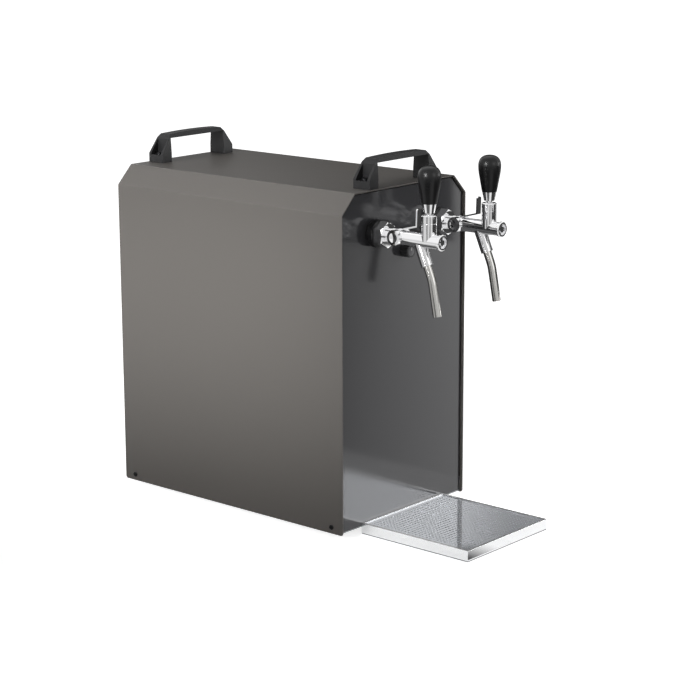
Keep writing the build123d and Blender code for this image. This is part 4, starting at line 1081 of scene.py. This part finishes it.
@dataclass
class Card:
    """One matt card that only polished surfaces see."""

    name: str
    corners: list[Point]
    glow: float
    rise: Pair = (0.0, 0.0)
    limits: Pair = (0.3, 2.0)

    @classmethod
    def upright(cls, name: str, centre: Point, along: Pair, size: Pair, glow: float,
                rise: Pair = (0.0, 0.0), limits: Pair = (0.3, 2.0)) -> "Card":
        """Stands a card on edge.

        Args:
            name: name of the card.
            centre: its middle in metres.
            along: its horizontal direction.
            size: width and height in metres.
            glow: brightness, where 1 is white; at the origin if the card is graded.
            rise: brightness gained per metre in x and y.
            limits: lowest and highest brightness of a graded card.

        Returns:
            The card.
        """
        side = Vector((*along, 0.0)).normalized() * size[0] / 2
        up = Vector((0, 0, size[1] / 2))
        middle = Vector(centre)
        corners = [tuple(middle + a * side + b * up)
                   for a, b in ((-1, -1), (1, -1), (1, 1), (-1, 1))]
        return cls(name, corners, glow, rise, limits)

    @classmethod
    def flat(cls, name: str, low: Pair, high: Pair, glow: float, rise: Pair = (0.0, 0.0),
             limits: Pair = (0.3, 2.0)) -> "Card":
        """Lays a card on the floor.

        Args:
            name: name of the card.
            low: its lowest corner in x and y, in metres.
            high: its highest corner.
            glow: brightness at the origin, where 1 is white.
            rise: brightness gained per metre in x and y.
            limits: lowest and highest brightness of a graded card.

        Returns:
            The card.
        """
        lift = 0.003
        corners = [(x, y, lift) for x, y in (
            (low[0], low[1]), (high[0], low[1]), (high[0], high[1]), (low[0], high[1]))]
        return cls(name, corners, glow, rise, limits)

    def build(self) -> None:
        """Adds the card with its even or graded brightness."""
        card = add_mesh(self.name, self.corners, [(0, 1, 2, 3)])
        material = bpy.data.materials.new(self.name)
        material.use_nodes = True
        tree = material.node_tree
        tree.nodes.clear()
        strength = self.glow
        if any(self.rise):
            spot = put(tree, "TexCoord").outputs["Object"]
            level = put(tree, "VectorMath", {0: spot, 1: (*self.rise, 0.0)},
                        operation="DOT_PRODUCT")
            low, high = self.limits
            strength = put(tree, "MapRange", {
                "Value": level.outputs["Value"], "From Min": low - self.glow,
                "From Max": high - self.glow, "To Min": low, "To Max": high}).outputs["Result"]
        glow = put(tree, "Emission", {"Color": WHITE, "Strength": strength})
        put(tree, "OutputMaterial", {"Surface": glow.outputs[0]})
        dress(card, material)
        card.visible_camera = card.visible_diffuse = card.visible_shadow = False
        card.visible_transmission = False


def studio_lamps() -> list[Softbox]:
    """Lists the soft lamps round the chiller.

    Returns:
        The lamps, left one first.
    """
    return [
        Softbox("left_softbox", (-1.2, 0.15, 0.72), (-0.135, 0.22, 0.33), (0.9, 0.4), 3.0, 36.0),
        Softbox("overhead_softbox", (0.25, 0.4, 1.7), (0.0, 0.1, 0.3), (1.2, 1.2), 2.1),
        Softbox("right_softbox", (0.95, -0.75, 0.75), (0.1, -0.13, 0.3), (0.4, 0.5), 4.0, 120.0,
                False),
        Softbox("front_softbox", (-0.2, -2.0, 1.0), (0.0, -0.3, 0.2), (0.9, 0.9), 4.0),
        Softbox("rear_softbox", (0.6, 1.6, 1.0), (0.0, 0.27, 0.25), (0.7, 0.7), 2.0),
    ]


def studio_cards() -> list[Card]:
    """Lists the cards that chrome, enamel and steel mirror.

    Returns:
        The cards: standing ones first, then those on the floor.
    """
    return [
        Card.upright("graded_card_high", (1.15, 0.45, 0.95), (0.64, -0.77), (1.9, 0.9), 0.116,
                     (-0.4, 0.43), (0.02, 0.7)),
        Card.upright("graded_card_low", (1.15, 0.45, 0.25), (0.64, -0.77), (1.9, 0.5), 1.4,
                     (-2.0, 2.0), (0.15, 0.45)),
        Card.upright("bright_card_low", (1.2, -1.15, 0.51), (0.66, 0.75), (0.62, 0.42), 5.8),
        Card.upright("dark_flag_front", (0.2, -0.86, 0.17), (0.95, 0.3), (0.62, 0.34), 0.04),
        Card.upright("dark_flag_camera", (-0.63, -0.4, 0.14), (0.3, -0.95), (0.68, 0.28), 0.12),
        Card.upright("dark_flag_taps", (0.25, -0.40, 0.42), (0.64, 0.77), (0.26, 0.17), 0.05),
        Card.upright("dark_flag_right", (1.5, -0.17, 0.42), (0.0, 1.0), (0.36, 0.84), 0.12),
        Card.upright("dark_flag_left", (-1.35, -0.35, 0.32), (0.1, 1.0), (0.42, 0.64), 0.2),
        # painted shadow: dark beside the cabinet's left side and lighter further out, it stands in
        # for the cabinet's shadow on the floor that the side mirrors
        Card.flat("painted_shadow_strip_left", (-0.8, -0.3), (-0.14, 1.1), -0.2, (-1.43, 0.45),
                  (0.15, 1.0)),
        Card.flat("graded_strip_tray", (-0.11, -0.37), (0.01, -0.3168), 1.3, (15.0, 0.0),
                  (0.1, 1.0)),
        Card.flat("grey_sweep_front", (-1.9, -2.6), (0.2, -0.5), 1.5, (0.8, 0.0), (0.3, 0.85)),
        Card.flat("graded_sweep", (0.2, -2.6), (3.2, -0.2), 1.05, (1.85, 2.1), (0.3, 1.3)),
    ]


@dataclass
class Studio:
    """Pale floor, soft lamps, white surroundings and the camera."""

    fill: float = 0.34
    floor_half: float = 12.0
    floor_colour: str = "#cfcfcf"
    floor_lift: Pair = (0.72, 1.0)
    lift_radius: Pair = (0.5, 1.3)
    mirrored_lift: float = 0.48
    azimuth_deg: float = -49.07
    elevation_deg: float = 13.183
    roll_deg: float = -0.208
    camera_mm: Point = (-2176.7, -1900.3, 918.7)
    focal_px: float = 2059.3
    frame_px: float = 680.0
    sensor_mm: float = 36.0
    lamps: list[Softbox] = field(default_factory=studio_lamps)
    cards: list[Card] = field(default_factory=studio_cards)

    def build(self) -> None:
        """Builds the whole studio."""
        scene = bpy.context.scene
        scene.view_settings.view_transform = "Standard"
        self.surroundings()
        self.floor()
        for piece in (*self.cards, *self.lamps):
            piece.build()
            LOG.info("studio: %s", piece.name)
        self.camera()

    def surroundings(self) -> None:
        """Sets white for camera, metal and glass, and a softer fill for everything else."""
        world = bpy.data.worlds.new("white_studio")
        bpy.context.scene.world = world
        world.use_nodes = True
        tree = world.node_tree
        tree.nodes.clear()
        path = put(tree, "LightPath").outputs
        seen = put(tree, "Math", {0: path["Is Camera Ray"], 1: path["Is Glossy Ray"]},
                   operation="MAXIMUM")
        seen = put(tree, "Math", {0: seen.outputs[0], 1: path["Is Transmission Ray"]},
                   operation="MAXIMUM")
        strength = put(tree, "MapRange", {
            "Value": seen.outputs[0], "To Min": self.fill, "To Max": 1.0}).outputs["Result"]
        shader = put(tree, "Background", {"Color": WHITE, "Strength": strength})
        put(tree, "OutputWorld", {"Surface": shader.outputs[0]})
        LOG.info("studio: %s", world.name)

    def floor(self) -> None:
        """Lays the pale floor: lifted to white for camera and mirrors, and it keeps shadows."""
        s = self.floor_half
        floor = add_mesh("studio_floor", [(-s, -s, 0), (s, -s, 0), (s, s, 0), (-s, s, 0)],
                         [(0, 1, 2, 3)])
        material = bpy.data.materials.new("pale_floor")
        material.use_nodes = True
        tree = material.node_tree
        tree.nodes.clear()
        path = put(tree, "LightPath").outputs
        mirrored = put(tree, "Math", {
            0: path["Is Glossy Ray"], 1: path["Is Transmission Ray"]}, operation="MAXIMUM")
        faint = put(tree, "Math", {0: mirrored.outputs[0], 1: self.mirrored_lift},
                    operation="MULTIPLY")
        spot = put(tree, "TexCoord").outputs["Object"]
        away = put(tree, "VectorMath", {0: spot}, operation="LENGTH").outputs["Value"]
        wash = put(tree, "MapRange", {
            "Value": away, "From Min": self.lift_radius[0], "From Max": self.lift_radius[1],
            "To Min": self.floor_lift[0], "To Max": self.floor_lift[1]}).outputs["Result"]
        lift = put(tree, "Math", {
            0: path["Is Camera Ray"], 1: wash, 2: faint.outputs[0]}, operation="MULTIPLY_ADD")
        matt = put(tree, "BsdfDiffuse", {"Color": linear(self.floor_colour)})
        glow = put(tree, "Emission", {"Color": WHITE, "Strength": lift.outputs[0]})
        both = put(tree, "AddShader", {0: matt.outputs[0], 1: glow.outputs[0]})
        put(tree, "OutputMaterial", {"Surface": both.outputs[0]})
        dress(floor, material)
        LOG.info("studio: %s", floor.name)

    def camera(self) -> None:
        """Adds the camera at the photograph's viewpoint."""
        lens = bpy.data.cameras.new("photo_camera")
        lens.sensor_width = self.sensor_mm
        lens.lens = self.focal_px / self.frame_px * self.sensor_mm
        camera = bpy.data.objects.new("photo_camera", lens)
        bpy.context.scene.collection.objects.link(camera)
        az, el = radians(self.azimuth_deg), radians(self.elevation_deg)
        ahead = Vector((-sin(az) * cos(el), cos(az) * cos(el), -sin(el)))
        roll = Matrix.Rotation(radians(self.roll_deg), 3, "Z").to_quaternion()
        camera.location = Vector(self.camera_mm) * MM
        camera.rotation_euler = (ahead.to_track_quat("-Z", "Y") @ roll).to_euler()
        bpy.context.scene.camera = camera
        LOG.info("studio: %s", camera.name)


def main() -> None:
    """Builds the chiller's looks and the studio, in order."""
    logging.basicConfig(level=logging.INFO, format="%(name)s: %(message)s")
    for assembly in (Cabinet(), CarryHandles(), Taps(), Thermostat(), DripTray(),
                     RearConnections(), CoolingUnit(), Studio()):
        assembly.build()


if __name__ == "__main__":
    main()
